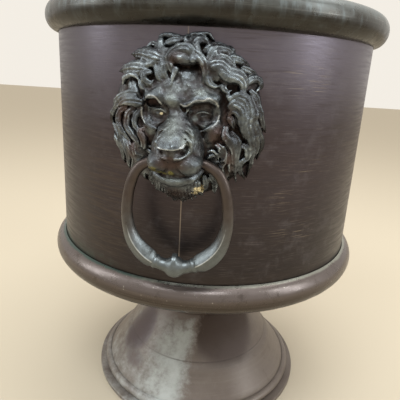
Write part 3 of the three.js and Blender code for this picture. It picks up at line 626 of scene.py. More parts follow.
def bottom_pan():
    outline = [
        (BOLT_HOLE_RADIUS, WELL_UNDERSIDE_Z),
        (WELL_RADIUS, WELL_UNDERSIDE_Z),
        (WELL_RADIUS + WELL_DRAFT, PAN_FLOOR_UNDERSIDE_Z),
        (PAN_FLOOR_RADIUS, PAN_FLOOR_UNDERSIDE_Z),
        (PAN_FLANGE_RADIUS - PAN_LEDGE, PAN_EDGE_Z),
        (PAN_FLANGE_RADIUS - PAN_BEND, PAN_EDGE_Z + PAN_BEND_LOW),
        (PAN_FLANGE_RADIUS, PAN_EDGE_Z + PAN_BEND_HIGH),
        (PAN_FLANGE_RADIUS, PAN_EDGE_Z + PAN_FLANGE_HEIGHT),
    ]
    return turned("bottom_pan_smooth", sheet_section(outline, PAN_SHEET), "bottom_pan")


def stem_trumpet():
    rise = TRUMPET_TOP_Z - SPUN_SHEET - TRUMPET_BOTTOM_Z
    outline = [
        (TRUMPET_NECK_RADIUS - TRUMPET_LIP, TRUMPET_BOTTOM_Z),
        (TRUMPET_NECK_RADIUS, TRUMPET_BOTTOM_Z),
    ]
    for i in range(1, TRUMPET_STEPS + 1):
        share = i / TRUMPET_STEPS
        radius = TRUMPET_NECK_RADIUS + TRUMPET_SPREAD * share ** TRUMPET_FLARE
        outline.append((radius, TRUMPET_BOTTOM_Z + rise * share))
    brim = TRUMPET_NECK_RADIUS + TRUMPET_SPREAD + TRUMPET_BRIM
    outline.append((brim, TRUMPET_BOTTOM_Z + rise))
    section = sheet_section(outline, SPUN_SHEET)
    return turned("stem_trumpet_smooth", section, "stem_trumpet")


def stem_collar():
    middle = (COLLAR_BOTTOM_Z + COLLAR_TOP_Z) / 2
    seat_inner = COLLAR_SEAT_RADIUS - COLLAR_SEAT_WIDTH
    proud = COLLAR_RADIUS - COLLAR_SEAT_RADIUS
    section = [
        (BOLT_HOLE_RADIUS, middle - COLLAR_WEB / 2),
        (COLLAR_WEB_RADIUS, middle - COLLAR_WEB / 2),
        (seat_inner, COLLAR_BOTTOM_Z),
        *half_round((COLLAR_SEAT_RADIUS, middle), proud, COLLAR_HEIGHT / 2),
        (seat_inner, COLLAR_TOP_Z),
        (COLLAR_WEB_RADIUS, middle + COLLAR_WEB / 2),
        (BOLT_HOLE_RADIUS, middle + COLLAR_WEB / 2),
    ]
    return turned("stem_collar_smooth", section, "stem_collar")


def bell_point(share, proud=0.0):
    """A point of the bell's outside, at a share of the way from shoulder to neck."""
    spread = BELL_SKIRT_RADIUS - BELL_NECK_RADIUS
    radius = BELL_NECK_RADIUS + spread * (1 - share) ** BELL_FLARE + proud
    return radius, BELL_SHOULDER_Z + (BELL_TOP_Z - BELL_SHOULDER_Z) * share


def foot_bell():
    below_step = BELL_STEP_SHARE - BELL_STEP_RISE / (BELL_TOP_Z - BELL_SHOULDER_Z)
    above_step = BELL_END_SHARE - BELL_STEP_SHARE
    outline = [
        (BELL_SKIRT_RADIUS, BELL_SKIRT_Z),
        (BELL_SKIRT_RADIUS, BELL_SHOULDER_Z - BELL_SKIRT_BEND),
        (BELL_SKIRT_RADIUS - BELL_SKIRT_INSET, BELL_SHOULDER_Z),
    ]
    for i in range(1, BELL_LOW_STEPS + 1):
        share = below_step * i / BELL_LOW_STEPS
        outline.append(bell_point(share, BELL_STEP * (i / BELL_LOW_STEPS) ** 3))
    outline.append(bell_point(BELL_STEP_SHARE - BELL_STEP_EDGE, BELL_STEP_LIP))
    for i in range(BELL_HIGH_STEPS + 1):
        outline.append(bell_point(BELL_STEP_SHARE + above_step * i / BELL_HIGH_STEPS))
    outline += [(BELL_NECK_RADIUS - BELL_ROUND, BELL_TOP_Z), (BOLT_HOLE_RADIUS, BELL_TOP_Z)]
    return turned("foot_bell_smooth", sheet_section(outline, SPUN_SHEET), "foot_bell")


def foot_bead():
    inner = BELL_SKIRT_RADIUS + SEAM_GAP
    middle = FLANGE_THICKNESS + SEAM_GAP + FOOT_BEAD_HEIGHT / 2
    section = half_round((inner, middle), FOOT_BEAD_DEPTH, FOOT_BEAD_HEIGHT / 2)
    return turned("foot_bead_smooth", section, "foot_bead")


def foot_flange():
    edge = smooth_outline([
        (FLANGE_RADIUS, FLANGE_ROUND),
        (FLANGE_RADIUS, FLANGE_THICKNESS),
        (FLANGE_RADIUS - FLANGE_ROUND_TOP, FLANGE_THICKNESS),
    ])
    section = [(FLANGE_INNER_RADIUS, 0.0), (FLANGE_RADIUS - FLANGE_ROUND, 0.0)] + edge
    section.append((FLANGE_INNER_RADIUS, FLANGE_THICKNESS))
    return turned("foot_flange_smooth", section, "foot_flange")


class Clay:
    """A signed distance field on a grid, in the mask's own space: x across, z up
    from the mask's middle and h out from the pot's wall. Negative is inside."""

    FAR = 4.0
    TUBE_MARGIN = 1.5
    LEAF_MARGIN = 1.6

    def __init__(self, low, high, step):
        self.low = np.array(low, dtype=float)
        self.step = step
        self.count = np.ceil((np.array(high) - self.low) / step).astype(int) + 1
        self.field = np.full(self.count, self.FAR, dtype=np.float32)

    def window(self, low, high):
        """The slices and the coordinates of the part of the grid inside a box."""
        first = np.floor((np.array(low) - self.low) / self.step).astype(int)
        last = np.ceil((np.array(high) - self.low) / self.step).astype(int) + 1
        first = np.clip(first, 0, self.count)
        last = np.clip(last, 0, self.count)
        slices = tuple(slice(a, b) for a, b in zip(first, last))
        axes = [self.low[i] + self.step * np.arange(first[i], last[i]) for i in range(3)]
        x, z, h = (axis.astype(np.float32) for axis in axes)
        return slices, (x[:, None, None], z[None, :, None], h[None, None, :])

    def patch(self, low, high):
        """The slices of a box, and an empty field of their size."""
        slices, _ = self.window(low, high)
        return slices, np.full([s.stop - s.start for s in slices], self.FAR, dtype=np.float32)

    @staticmethod
    def within(part, slices):
        """The slices of a part of the grid, counted from the start of a larger one."""
        return tuple(slice(p.start - s.start, p.stop - s.start) for p, s in zip(part, slices))

    def join(self, slices, shape, blend, carve=False):
        """Adds a shape to the clay or carves it out, with a fillet as wide as the blend."""
        sign = -1 if carve else 1
        here = sign * self.field[slices]
        mix = np.maximum(blend - np.abs(here - shape), 0) / max(blend, 1e-6)
        self.field[slices] = sign * (np.minimum(here, shape) - mix * mix * blend * 0.25)

    def blob(self, centre, radii, blend=2.0, carve=False, tilt=0.0):
        """An ellipsoid, turned in the mask's plane by tilt degrees."""
        centre = np.array(centre, dtype=float)
        reach = np.array(radii) + blend + self.FAR / 2
        if tilt:
            reach[:2] = max(reach[:2])
        slices, (x, z, h) = self.window(centre - reach, centre + reach)
        turn = math.radians(tilt)
        across = (x - centre[0]) * math.cos(turn) + (z - centre[1]) * math.sin(turn)
        along = (z - centre[1]) * math.cos(turn) - (x - centre[0]) * math.sin(turn)
        offsets = (across, along, h - centre[2])
        near = np.sqrt(sum((o / r) ** 2 for o, r in zip(offsets, radii)))
        slope = np.sqrt(sum((o / r ** 2) ** 2 for o, r in zip(offsets, radii)))
        shape = near * (near - 1) / np.maximum(slope, 1e-4)
        self.join(slices, shape, blend, carve)

    def strand(self, points, radii, blend=1.0, carve=False):
        """A tube through points, with a radius at each."""
        points = np.array(points, dtype=float)
        radii = np.array(radii, dtype=float)
        margin = radii.max() + blend + self.TUBE_MARGIN
        slices, shape = self.patch(points.min(0) - margin, points.max(0) + margin)
        for a, b, ra, rb in zip(points, points[1:], radii, radii[1:]):
            reach = max(ra, rb) + blend + self.TUBE_MARGIN
            part, (x, z, h) = self.window(np.minimum(a, b) - reach, np.maximum(a, b) + reach)
            inner = self.within(part, slices)
            along = b - a
            length = max(float(along @ along), 1e-9)
            offsets = (x - a[0], z - a[1], h - a[2])
            share = sum(o * c for o, c in zip(offsets, along)) / length
            share = np.clip(share, 0, 1)
            away = np.sqrt(sum((o - share * c) ** 2 for o, c in zip(offsets, along)))
            shape[inner] = np.minimum(shape[inner], away - (ra + (rb - ra) * share))
        self.join(slices, shape, blend, carve)

    def leaf(self, points, across, half_widths, half_depths, roots, lines, blend=0.5, skew=1.0):
        """A flat lock along points: a lens in section, rooted below and lined on its face.

        Across gives its sideways direction at each point and roots how far it
        reaches down.
        """
        reach = float(max(half_widths)) + self.FAR
        low, high = points.min(0) - reach, points.max(0) + reach
        low[2] = points[:, 2].min() - float(max(roots)) - 2
        slices, shape = self.patch(low, high)
        for i in range(len(points) - 1):
            a, b = points[i], points[i + 1]
            along = b - a
            length = max(float(np.linalg.norm(along)), 1e-6)
            along = along / length
            side = across[i] - along * float(across[i] @ along)
            side /= np.linalg.norm(side)
            up = np.cross(side, along)
            up *= np.sign(up[2])
            wide = max(half_widths[i], half_widths[i + 1]) + self.LEAF_MARGIN
            deep = max(roots[i], roots[i + 1]) + self.LEAF_MARGIN
            lowest = np.minimum(a, b) - (wide, wide, deep)
            part, (x, z, h) = self.window(lowest, np.maximum(a, b) + wide)
            inner = self.within(part, slices)
            offsets = (x - a[0], z - a[1], h - a[2])
            run = sum(o * c for o, c in zip(offsets, along))
            share = np.clip(run / length, 0, 1)
            beyond = run - share * length
            aside = sum(o * c for o, c in zip(offsets, side))
            above = sum(o * c for o, c in zip(offsets, up))
            width = half_widths[i] + (half_widths[i + 1] - half_widths[i]) * share
            depth = half_depths[i] + (half_depths[i + 1] - half_depths[i]) * share
            root = roots[i] + (roots[i + 1] - roots[i]) * share
            tall = np.where(above > 0, depth, root)
            near = np.abs(aside / width) ** 1.8 + (above / tall) ** 2 + (beyond / depth) ** 2
            body = (np.sqrt(near) - 1) * depth
            if lines:
                place = np.clip(aside / width / 2 + 0.5, 0, 1) ** skew * (lines + 1)
                nearest = np.clip(np.round(place), 1, lines)
                away = np.abs(place - nearest) * 2 * width / (lines + 1)
                cut = np.clip(1 - away / LINE_HALF_WIDTH, 0, 1)
                body = body + np.where(above > 0, LINE_DEPTH, 0) * cut * np.minimum(1, width / 1.8)
            shape[inner] = np.minimum(shape[inner], body)
        self.join(slices, shape, blend)

    def roughen(self, spacing, amount, rng):
        """Moves the surface in and out by smooth random amounts, as an old casting is."""
        coarse = rng.normal(0, amount, np.ceil(self.count * self.step / spacing).astype(int) + 2)
        for axis in range(3):
            place = np.arange(self.count[axis]) * self.step / spacing
            whole = place.astype(int)
            part = place - whole
            part = part * part * (3 - 2 * part)
            shape = [-1 if i == axis else 1 for i in range(3)]
            part = part.reshape(shape)
            coarse = np.take(coarse, whole, axis) * (1 - part) + np.take(coarse, whole + 1, axis) * part
        self.field += coarse.astype(np.float32)

    def blurred(self, reach):
        """The field averaged over a cube of the given half size, in millimetres."""
        half = max(1, round(reach / self.step))
        soft = np.clip(self.field, -self.FAR / 2, self.FAR / 2).astype(np.float64)
        for axis in range(3):
            pad = [(half + 1, half) if i == axis else (0, 0) for i in range(3)]
            total = np.cumsum(np.pad(soft, pad, mode="edge"), axis=axis)
            size = soft.shape[axis]
            above = np.take(total, range(2 * half + 1, 2 * half + 1 + size), axis=axis)
            below = np.take(total, range(0, size), axis=axis)
            soft = (above - below) / (2 * half + 1)
        return soft

    def sample(self, field, points):
        """A field's values at points, read between the grid's own points."""
        place = (points - self.low) / self.step
        whole = np.clip(np.floor(place).astype(int), 0, self.count - 2)
        part = np.clip(place - whole, 0, 1)
        value = np.zeros(len(points))
        for corner in range(8):
            bits = np.array([(corner >> i) & 1 for i in range(3)])
            weight = np.prod(np.where(bits, part, 1 - part), axis=1)
            at = whole + bits
            value += weight * field[at[:, 0], at[:, 1], at[:, 2]]
        return value

    def mesh(self):
        grid = openvdb.FloatGrid(background=self.FAR)
        grid.copyFromArray(np.ascontiguousarray(self.field, dtype=float))
        points, _, quads = grid.convertToPolygons(isovalue=0.0, adaptivity=0.0)
        corners = self.low + self.step * np.array(points, dtype=float)
        return main_shell(corners, np.array(quads, dtype=np.int64))


def main_shell(corners, quads):
    """The largest joined shell of a mesh of quads, without crumbs and closed voids."""
    shell = np.arange(len(corners))
    while True:
        lowest = shell.copy()
        near = shell[quads].min(axis=1)
        for k in range(4):
            np.minimum.at(lowest, quads[:, k], near)
        lowest = lowest[lowest]
        if np.array_equal(lowest, shell):
            break
        shell = lowest
    names, sizes = np.unique(shell[quads[:, 0]], return_counts=True)
    kept = quads[shell[quads[:, 0]] == names[np.argmax(sizes)]]
    used, places = np.unique(kept, return_inverse=True)
    return corners[used], places.reshape(kept.shape).tolist()


def curve_points(points, count):
    """A smooth curve through points, at evenly spread shares of their number."""
    points = np.array(points, dtype=float)
    padded = np.vstack([2 * points[0] - points[1], points, 2 * points[-1] - points[-2]])
    spans = len(points) - 1
    result = []
    for i in range(count + 1):
        place = i / count * spans
        k = min(int(place), spans - 1)
        t = place - k
        a, b, c, d = padded[k:k + 4]
        result.append(0.5 * (
            2 * b + (c - a) * t + (2 * a - 5 * b + 4 * c - d) * t * t
            + (3 * b - a - 3 * c + d) * t ** 3
        ))
    return np.array(result)


def tube(points, steps, places, radii):
    """A smooth line through points and the radius at each of its steps, for a strand."""
    return curve_points(points, steps), np.interp(range(steps + 1), places, radii)


def dome(x, z):
    """Height of the cushion that the mane's locks lie on."""
    out = math.hypot(x, z) / MASK_RADIUS
    return DOME_EDGE + DOME_RISE * math.sqrt(max(0.0, 1 - out ** DOME_POWER))


def add_lock(clay, width, strands, stations):
    """A lock of hair: a lined leaf, narrow at its root and pointed at its tip, whose
    edge nearer to the face stands higher."""
    steps = LOCK_STEPS * (len(stations) - 1)
    path = curve_points(stations, steps)
    lift = path[:, 2].copy()
    for i in range(steps + 1):
        path[i, 2] += dome(path[i, 0], path[i, 1])
    along = np.gradient(path[:, :2], axis=0)
    along /= np.maximum(np.linalg.norm(along, axis=1), 1e-6)[:, None]
    sideways = np.stack([-along[:, 1], along[:, 0]], axis=1)
    outward = path[:, :2] - FACE_MIDDLE
    facing = np.sum(sideways * outward, axis=1) / np.maximum(np.linalg.norm(outward, axis=1), 1)
    across = np.column_stack([sideways, -LOCK_ROLL * facing])
    share = np.linspace(0, 1, steps + 1)
    swelling = np.minimum(1.0, LOCK_ROOT_FULLNESS + LOCK_SWELL * share)
    fullness = swelling * (1 - share ** LOCK_TAPER) ** LOCK_POINT + LOCK_TIP
    half_widths = LOCK_FILL * width / 2 * fullness
    half_depths = (LOCK_THICKNESS + LOCK_THICKENING * width) * (0.4 + 0.6 * fullness)
    roots = half_depths + np.maximum(lift, 0) + LOCK_ROOTING
    # The lines lie a little differently on each lock
    skew = 0.7 + 0.8 * (abs(stations[0][0] * 0.37 + stations[0][1] * 0.61) % 1)
    lines = max(strands - 2, min(strands - 1, 1))
    clay.leaf(path, across, half_widths, half_depths, roots, lines, LOCK_BLEND, skew)


def both_sides(add, points, *rest, **options):
    """Adds a feature on the left of the face and its mirror on the right."""
    mirrored = [(-x, z, h) for x, z, h in points]
    add(points, *rest, **options)
    add(mirrored, *rest, **options)


def pair(clay, centre, radii, blend=2.0, carve=False, tilt=0.0):
    """Adds a blob on one side of the face and its mirror on the other."""
    x, z, h = centre
    clay.blob((x, z, h), radii, blend, carve, tilt)
    clay.blob((-x, z, h), radii, blend, carve, -tilt)


def wall_height(x):
    """Height above the wall of the ring's pivot line, at x across the mask."""
    return PIVOT_REACH - math.sqrt(MASK_BACK_RADIUS ** 2 - x * x)


def sculpt_skull(clay):
    clay.blob((0, 1, 0), (57.5, 58, 20), 0.5)
    clay.blob((0, 14, 4), (33, 25, 21), 4)
    clay.blob((0, 23, 11), (25, 11, 15), 5)
    pair(clay, (14.5, 17.5, 16), (13, 7.4, 11.6), 4, tilt=4)
    clay.blob((-0.5, 15, 19), (9.5, 9, 11.4), 4)
    pair(clay, (22, -5.5, 8.5), (11.5, 13, 14), 3, tilt=-12)
    clay.blob((0, -41, 12), (17, 12, 16), 4)
    clay.blob((0, -48, 8), (16, 11, 14), 3)
    pair(clay, (31, -61, 16), (9, 15, 24), 2, carve=True, tilt=20)


def sculpt_forelock(clay):
    """The lump of hair over the forehead, and the forehead running up under it."""
    clay.blob((3, 31, 9.5), (13, 9, 13.5), 3)
    clay.blob((0.6, 43.4, 20), (8.8, 4.4, 7), 1.5, tilt=-6)
    clay.blob((7.5, 43, 21), (3.4, 3.6, 6.4), 1)
    parting = [(-3, 46.6, 28), (1.5, 45, 28), (3.6, 41.4, 28)]
    clay.strand(parting, (0.8, 1.3, 0.8), 0.8, carve=True)
    wisp = [(0.5, 33.5, 24.6), (-0.6, 29.6, 25.4), (1.6, 25.4, 26.4)]
    clay.strand(wisp, (0.6, 1.1, 0.5), 1.2, carve=True)
    tuft = [(-3.6, 36, 23), (-5, 31, 24.4), (-6.2, 26, 25.4)]
    clay.strand(tuft, (1.8, 1.6, 0.6), 1.2)


def sculpt_sockets(clay):
    """Hollows under the brows, sharp at their edges and deepest at the top."""
    pair(clay, (16.6, 7, 27), (10.4, 9.6, 10.4), 0.5, carve=True, tilt=4)
    clay.blob((-19.5, 13, 21), (6.6, 4.6, 5.4), 0.4, carve=True, tilt=-6)
    clay.blob((16.2, 11.6, 22), (9.4, 3.6, 4.6), 0.4, carve=True, tilt=4)
    pair(clay, (9.8, 6.4, 23.5), (2.6, 3.4, 5), 0.8, carve=True, tilt=-25)
    right_cleft = [(1.8, 12.8, 30), (3.4, 10.4, 27.4), (5.6, 7.4, 24.4)]
    clay.strand(right_cleft, (0.7, 1.6, 1.9), 0.8, carve=True)
    pair(clay, (16, 5, 12.6), (6.8, 4.2, 5.6), 1)
    lid = [(9, 5.2, 18.4), (12, 7.8, 18.2), (16, 8.6, 17.8), (20.6, 7.2, 17), (24, 4, 16)]
    both_sides(clay.strand, *tube(lid, 12, (0, 6, 12), (0.5, 0.7, 0.5)), 0.8)
    slit = [(10.4, 5, 19), (13, 4.6, 18.8), (17, 4.6, 18.4), (21, 4.4, 17.4)]
    both_sides(clay.strand, *tube(slit, 8, (0, 4, 8), (0.5, 0.8, 0.4)), 0.4, carve=True)
    under = [(9, 4.2, 18.6), (12, 1.8, 18.4), (16.5, 1, 18), (21, 1.8, 17.4), (24, 3.6, 16.4)]
    both_sides(clay.strand, *tube(under, 12, (0, 6, 12), (0.5, 0.8, 0.5)), 0.8)


def sculpt_brows(clay):
    """The crisp edges of the brows and of the cheekbones round the sockets."""
    for brow, full in ((LEFT_BROW, 1.3), (RIGHT_BROW, 1.25)):
        clay.strand(*tube(brow, 24, (0, 5, 20, 24), (0.5, full, full, 0.7)), 1.6)
    for rim in (LEFT_RIM, RIGHT_RIM):
        clay.strand(*tube(rim, 20, (0, 4, 13, 20), (0.6, 1, 1.1, 0.2)), 2.4)
    crease = [(9.6, 1.6, 21.5), (13.6, -3.4, 20.5), (17.4, -9, 18.5), (21, -15.5, 15.5)]
    both_sides(clay.strand, crease, (0.9, 1.5, 1.3, 1), 1.5, carve=True)
    wrinkle = [(12, 23.4, 27), (17, 24.4, 25.8), (21.5, 22.6, 23.8)]
    both_sides(clay.strand, wrinkle, (0.5, 1.1, 0.5), 2, carve=True)
    clay.blob((-5.4, 16.6, 22), (5.4, 5, 8), 2.5, tilt=20)


def sculpt_nose(clay):
    """One egg from the bridge to the lips, with the nose's pad and wings on it."""
    egg = [(0, 11, 18.5), (0, 3, 18.8), (0, -5, 21), (0, -12, 23.6), (0, -18.5, 25.4), (0, -23, 25)]
    clay.strand(*tube(egg, 20, (0, 4, 8, 12, 16, 20), (7, 9.6, 13.2, 16.6, 18.6, 16.8)), 2.5)
    top = np.array([
        (-0.6, 14, 21), (-0.4, 8, 22.8), (0, 3, 26.2), (0, -2, 31), (-0.2, -6, 36.6), (0, -10, 42),
        (0.2, -14.5, 46.2),
    ])
    across = np.tile((1.0, 0, 0), (len(top), 1))
    clay.leaf(top, across, (7, 7.8, 9.2, 10.6, 11.4, 11.2, 10.2), (6.2,) * 7, [18.0] * 7, 0, 3)
    front = [
        (-12, -14.8, 41), (-9, -16.2, 46.4), (-5, -17.2, 50.4), (0, -17.6, 52.2), (4.4, -17, 51.2),
        (8, -15.4, 47), (11, -13, 41),
    ]
    clay.strand(*tube(front, 18, (0, 9, 18), (2.4, 3.9, 2.6)), 0.3, carve=True)
    pair(clay, (7.6, -16, 44.4), (2, 1.5, 3), 0.5, carve=True, tilt=20)
    clay.strand(*tube(RIGHT_WING, 14, (0, 5, 10, 14), (0.5, 1.7, 1.3, 0.4)), 2.6)
    left_wing = [(-x, z, h) for x, z, h in RIGHT_WING]
    clay.strand(*tube(left_wing, 14, (0, 5, 10, 14), (0.4, 0.9, 0.7, 0.4)), 2)
    groove = [(8.2, -7.4, 43.6), (9.8, -10.4, 43.6), (9.8, -13.6, 43.2)]
    both_sides(clay.strand, groove, (0.5, 0.9, 0.7), 0.6, carve=True)
    fold = [(7.6, -3.8, 38.5), (10.2, -6.2, 38), (12.4, -9.6, 38.4)]
    both_sides(clay.strand, fold, (0.5, 0.9, 0.5), 0.9, carve=True)


def sculpt_muzzle(clay):
    pair(clay, (9.6, -24.6, 33), (9.9, 8.6, 13.4), 0.8, tilt=-14)
    philtrum = [(0, -19, 50), (0, -24, 48), (0, -29, 45), (0, -34, 41)]
    clay.strand(philtrum, (1.6, 2.4, 2.8, 2.4), 1.6, carve=True)
    lip = [
        (-18, -30.8, 21), (-14.4, -35, 28), (-7.4, -37.4, 33.4), (0.4, -38.6, 35.2), (8, -37.4, 34.6),
        (14.4, -34.8, 29.4), (18, -30.8, 21),
    ]
    clay.strand(*tube(lip, 24, (0, 5, 12, 19, 24), (1.9, 3.4, 3.8, 3.6, 1.9)), 0.6)
    gap = [(x, z + 4.4 - 0.02 * abs(x), h + 3) for x, z, h in lip]
    clay.strand(*tube(gap, 24, (0, 5, 12, 19, 24), (0.8, 1, 1, 1, 0.8)), 0.7, carve=True)
    pair(clay, (23.6, -24.6, 15), (4.8, 6.6, 6.8), 0.8, tilt=-10)
    lobe = [(20.5, -18.8, 19.6), (24, -17.8, 20.6), (27.4, -20.5, 20), (28.2, -25.5, 19), (26, -30, 18)]
    both_sides(clay.strand, *tube(lobe, 12, (0, 6, 12), (0.7, 1.2, 0.7)), 0.5)
    pair(clay, (23.6, -23.6, 22.6), (2.6, 4, 2.4), 0.8, carve=True, tilt=-10)


def sculpt_beard(clay):
    for k in range(-BEARD_HAIRS, BEARD_HAIRS + 1):
        x = BEARD_SPACING * k
        end = -59.5 - 1.6 * ((k * 5) % 3) / 2 + 0.03 * x * x
        hair = [(x, -42, 27.4 - 0.035 * x * x), (1.06 * x, -50, 22.6 - 0.03 * x * x), (1.12 * x, end, 8)]
        clay.strand(curve_points(hair, 8), np.linspace(1.45, 0.9, 9), 0.5)


def sculpt_bores(clay):
    for direction in (-1, 1):
        reach = np.linspace(PIN_END_X - PIN_CLEARANCE, PIN_END_X + BORE_LENGTH, BORE_STEPS)
        line = [(direction * x, PIVOT_Z - MASK_CENTRE_Z, wall_height(x)) for x in reach]
        clay.strand(line, [PIN_RADIUS + PIN_CLEARANCE] * BORE_STEPS, 0.2, carve=True)


def clear_ring(clay):
    """Dresses the casting wherever the swinging ring would rub on it."""
    centre, _, radius, _, _ = ring_stations()
    kept = (centre[:, 0] < 0) & (centre[:, 1] > -RING_CLEARED_DROP)
    for degrees in np.linspace(*RING_RANGE, RING_SWEEP_STEPS):
        turn = math.radians(degrees)
        for direction in (-1, 1):
            line = []
            for x, drop in centre[kept][::RING_CLEARED_EVERY]:
                away = wall_height(x) - drop * math.sin(turn)
                line.append((-direction * x, PIVOT_Z - MASK_CENTRE_Z + drop * math.cos(turn), away))
            radii = radius[kept][::RING_CLEARED_EVERY] + RING_CLEARANCE
            clay.strand(line, radii, 0.2, carve=True)


def part_beard(clay):
    """Gaps between the beard and the lowest locks of the mane."""
    clay.blob((-26.4, -48.5, 15), (4, 7.6, 13), 0.8, carve=True, tilt=12)
    clay.blob((36.6, -43.5, 15), (3.2, 7, 13), 0.8, carve=True, tilt=-10)


def lion_clay():
    """The whole mask as clay, flat behind, with the ring's way and the bores cut clear."""
    clay = Clay(CLAY_LOW, CLAY_HIGH, CLAY_STEP)
    sculpt_skull(clay)
    for width, strands, stations in LOCKS.values():
        add_lock(clay, width, strands, stations)
    clay.field = np.minimum(clay.field, clay.blurred(HOLLOW_REACH) + HOLLOW_DEPTH)
    sculpt_forelock(clay)
    sculpt_nose(clay)
    sculpt_sockets(clay)
    sculpt_brows(clay)
    sculpt_muzzle(clay)
    sculpt_beard(clay)
    part_beard(clay)
    rng = np.random.default_rng(CASTING_SEED)
    for spacing, amount in CASTING_WAVES:
        clay.roughen(spacing, amount, rng)
    clear_ring(clay)
    sculpt_bores(clay)
    behind = clay.low[2] + clay.step * np.arange(clay.count[2])
    clay.field = np.maximum(clay.field, -behind[None, None, :].astype(np.float32))
    return clay


def tint_share(spots, x, z):
    """How strongly a tint shows at points of the mask: spots with soft edges."""
    share = np.zeros(len(x))
    for across, up, half_width, half_height, strength in spots:
        far = ((x - across) / half_width) ** 2 + ((z - up) / half_height) ** 2
        share = np.maximum(share, strength * np.exp(-far))
    return share


def wear_and_highlight_share(corners):
    """How near points of the mask are to the face's crisp lines, which are painted paler for wear and a
    painted highlight.
    """
    share = np.zeros(len(corners))
    for line in WEAR_AND_HIGHLIGHT_LINES:
        for x, z, _ in curve_points(line, WEAR_AND_HIGHLIGHT_STEPS):
            far = ((corners[:, 0] - x) ** 2 + (corners[:, 1] - z) ** 2) / WEAR_AND_HIGHLIGHT_HALF_WIDTH ** 2
            share = np.maximum(share, np.exp(-far))
    return share


def lion_mask(clay, side):
    corners, faces = clay.mesh()
    fine = clay.sample(clay.blurred(FINE_REACH), corners)
    broad = clay.sample(clay.blurred(BROAD_REACH), corners)
    x, z, h = corners.T
    reach = np.sqrt(MASK_BACK_RADIUS ** 2 - x * x) + h
    turn = SIDES[side]
    vertices = np.stack([turn * x, -turn * reach, z + MASK_CENTRE_Z], axis=1)
    node = f"lion_mask_{side}"
    piece = new_piece(f"{node}_cast", vertices, faces, "pot", node)
    keep_values(piece, {"relief_fine": fine, "relief_broad": broad, "relief_height": h})
    # Closeness to the crisp lines, painted paler for wear and a painted highlight
    keep_values(piece, {"relief_wear_and_highlight": wear_and_highlight_share(corners)})
    keep_values(piece, {name: tint_share(spots, x, z) for name, spots in TINTS.items()})
    shade(piece, CASTING_CREASE)
    return piece


def ring_line():
    """The ring's centre line from pin to ball, as x across and drop below the pivot."""
    straight = [(PIN_END_X, 0), ((PIN_END_X + MOUTH_HALF_WIDTH + PIN_RADIUS / 2) / 2, 0)]
    straight.append((MOUTH_HALF_WIDTH + PIN_RADIUS / 2, 0))
    bow = [(RING_HALF_WIDTH * across, RING_DROP * down) for across, down in RING_BOW]
    return curve_points([(x, drop, 0) for x, drop in straight + bow], RING_LINE_STEPS)[:, :2]


def ring_stations():
    """Centre, direction, radius and ridging at stations from one pin to the other."""
    half = ring_line()
    steps = np.linalg.norm(np.diff(half, axis=0), axis=1)
    from_pin = np.concatenate([[0], np.cumsum(steps)])
    to_ball = from_pin[-1] - from_pin
    even = np.linspace(-1, 1, RING_STATIONS + 1)
    distance = np.abs(even) ** RING_CROWDING * from_pin[-1]
    x = np.sign(even) * np.interp(distance, to_ball[::-1], half[::-1, 0])
    drop = np.interp(distance, to_ball[::-1], half[::-1, 1])
    centre = np.stack([x, -drop], axis=1)
    along = np.gradient(centre, axis=0)
    along /= np.linalg.norm(along, axis=1)[:, None]
    along[0] = along[-1] = (1, 0)
    share, radius, ridge = np.array(RING_PROFILE).T
    scaled = distance / MASK_RADIUS
    size = MASK_RADIUS * np.interp(scaled, share, radius)
    return centre, along, size, np.interp(scaled, share, ridge), scaled


def signed_power(wave, power):
    return np.sign(wave) * np.abs(wave) ** power


def ring_section(angles, size, sharp, far):
    """A section's reach toward the ring's middle and toward the wall: an oval drawn out
    to a ridge where it is sharp, and to a tip at the ball."""
    power = 1 + RIDGE_POWER * sharp
    swell = 1 + RIDGE_SWELL * sharp
    inward = signed_power(np.cos(angles), power) * size * swell
    back = signed_power(np.sin(angles), power) * size * swell
    inward += RIDGE_SHIFT * sharp * np.abs(back)
    inward *= np.where(inward > 0, 1 + BALL_TIP * math.exp(-(far / BALL_TIP_WIDTH) ** 2), 1)
    return inward, back


def hanging_ring(side):
    centre, along, radius, ridge, distance = ring_stations()
    turn = SIDES[side]
    angles = 2 * np.pi * np.arange(RING_SIDES) / RING_SIDES
    vertices = []
    for place, line, size, sharp, far in zip(centre, along, radius, ridge, distance):
        inward, back = ring_section(angles, size, sharp, far)
        x = place[0] - line[1] * inward
        z = PIVOT_Z + place[1] + line[0] * inward
        y = -PIVOT_REACH + back
        vertices += [tuple(v) for v in np.stack([turn * x, turn * y, z], axis=1)]
    faces = []
    for i in range(len(centre) - 1):
        for k in range(RING_SIDES):
            here, there = i * RING_SIDES, (i + 1) * RING_SIDES
            after = (k + 1) % RING_SIDES
            faces.append((here + k, here + after, there + after, there + k))
    faces.append(tuple(range(RING_SIDES)))
    faces.append(tuple(len(vertices) - 1 - k for k in range(RING_SIDES)))
    body = f"ring_{side}"
    piece = new_piece(f"ring_{side}_cast", vertices, faces, body, body)
    # Share of the pale line along each ridge: wear and a painted highlight
    pale_mark = np.outer(ridge, np.abs(np.sin(angles)) ** RIDGE_WEAR_AND_HIGHLIGHT_POWER)
    keep_values(piece, {"relief_wear": np.repeat(distance, RING_SIDES), "relief_ridge_wear_and_highlight": pale_mark.ravel()})
    shade(piece, RING_CREASE)
    return piece


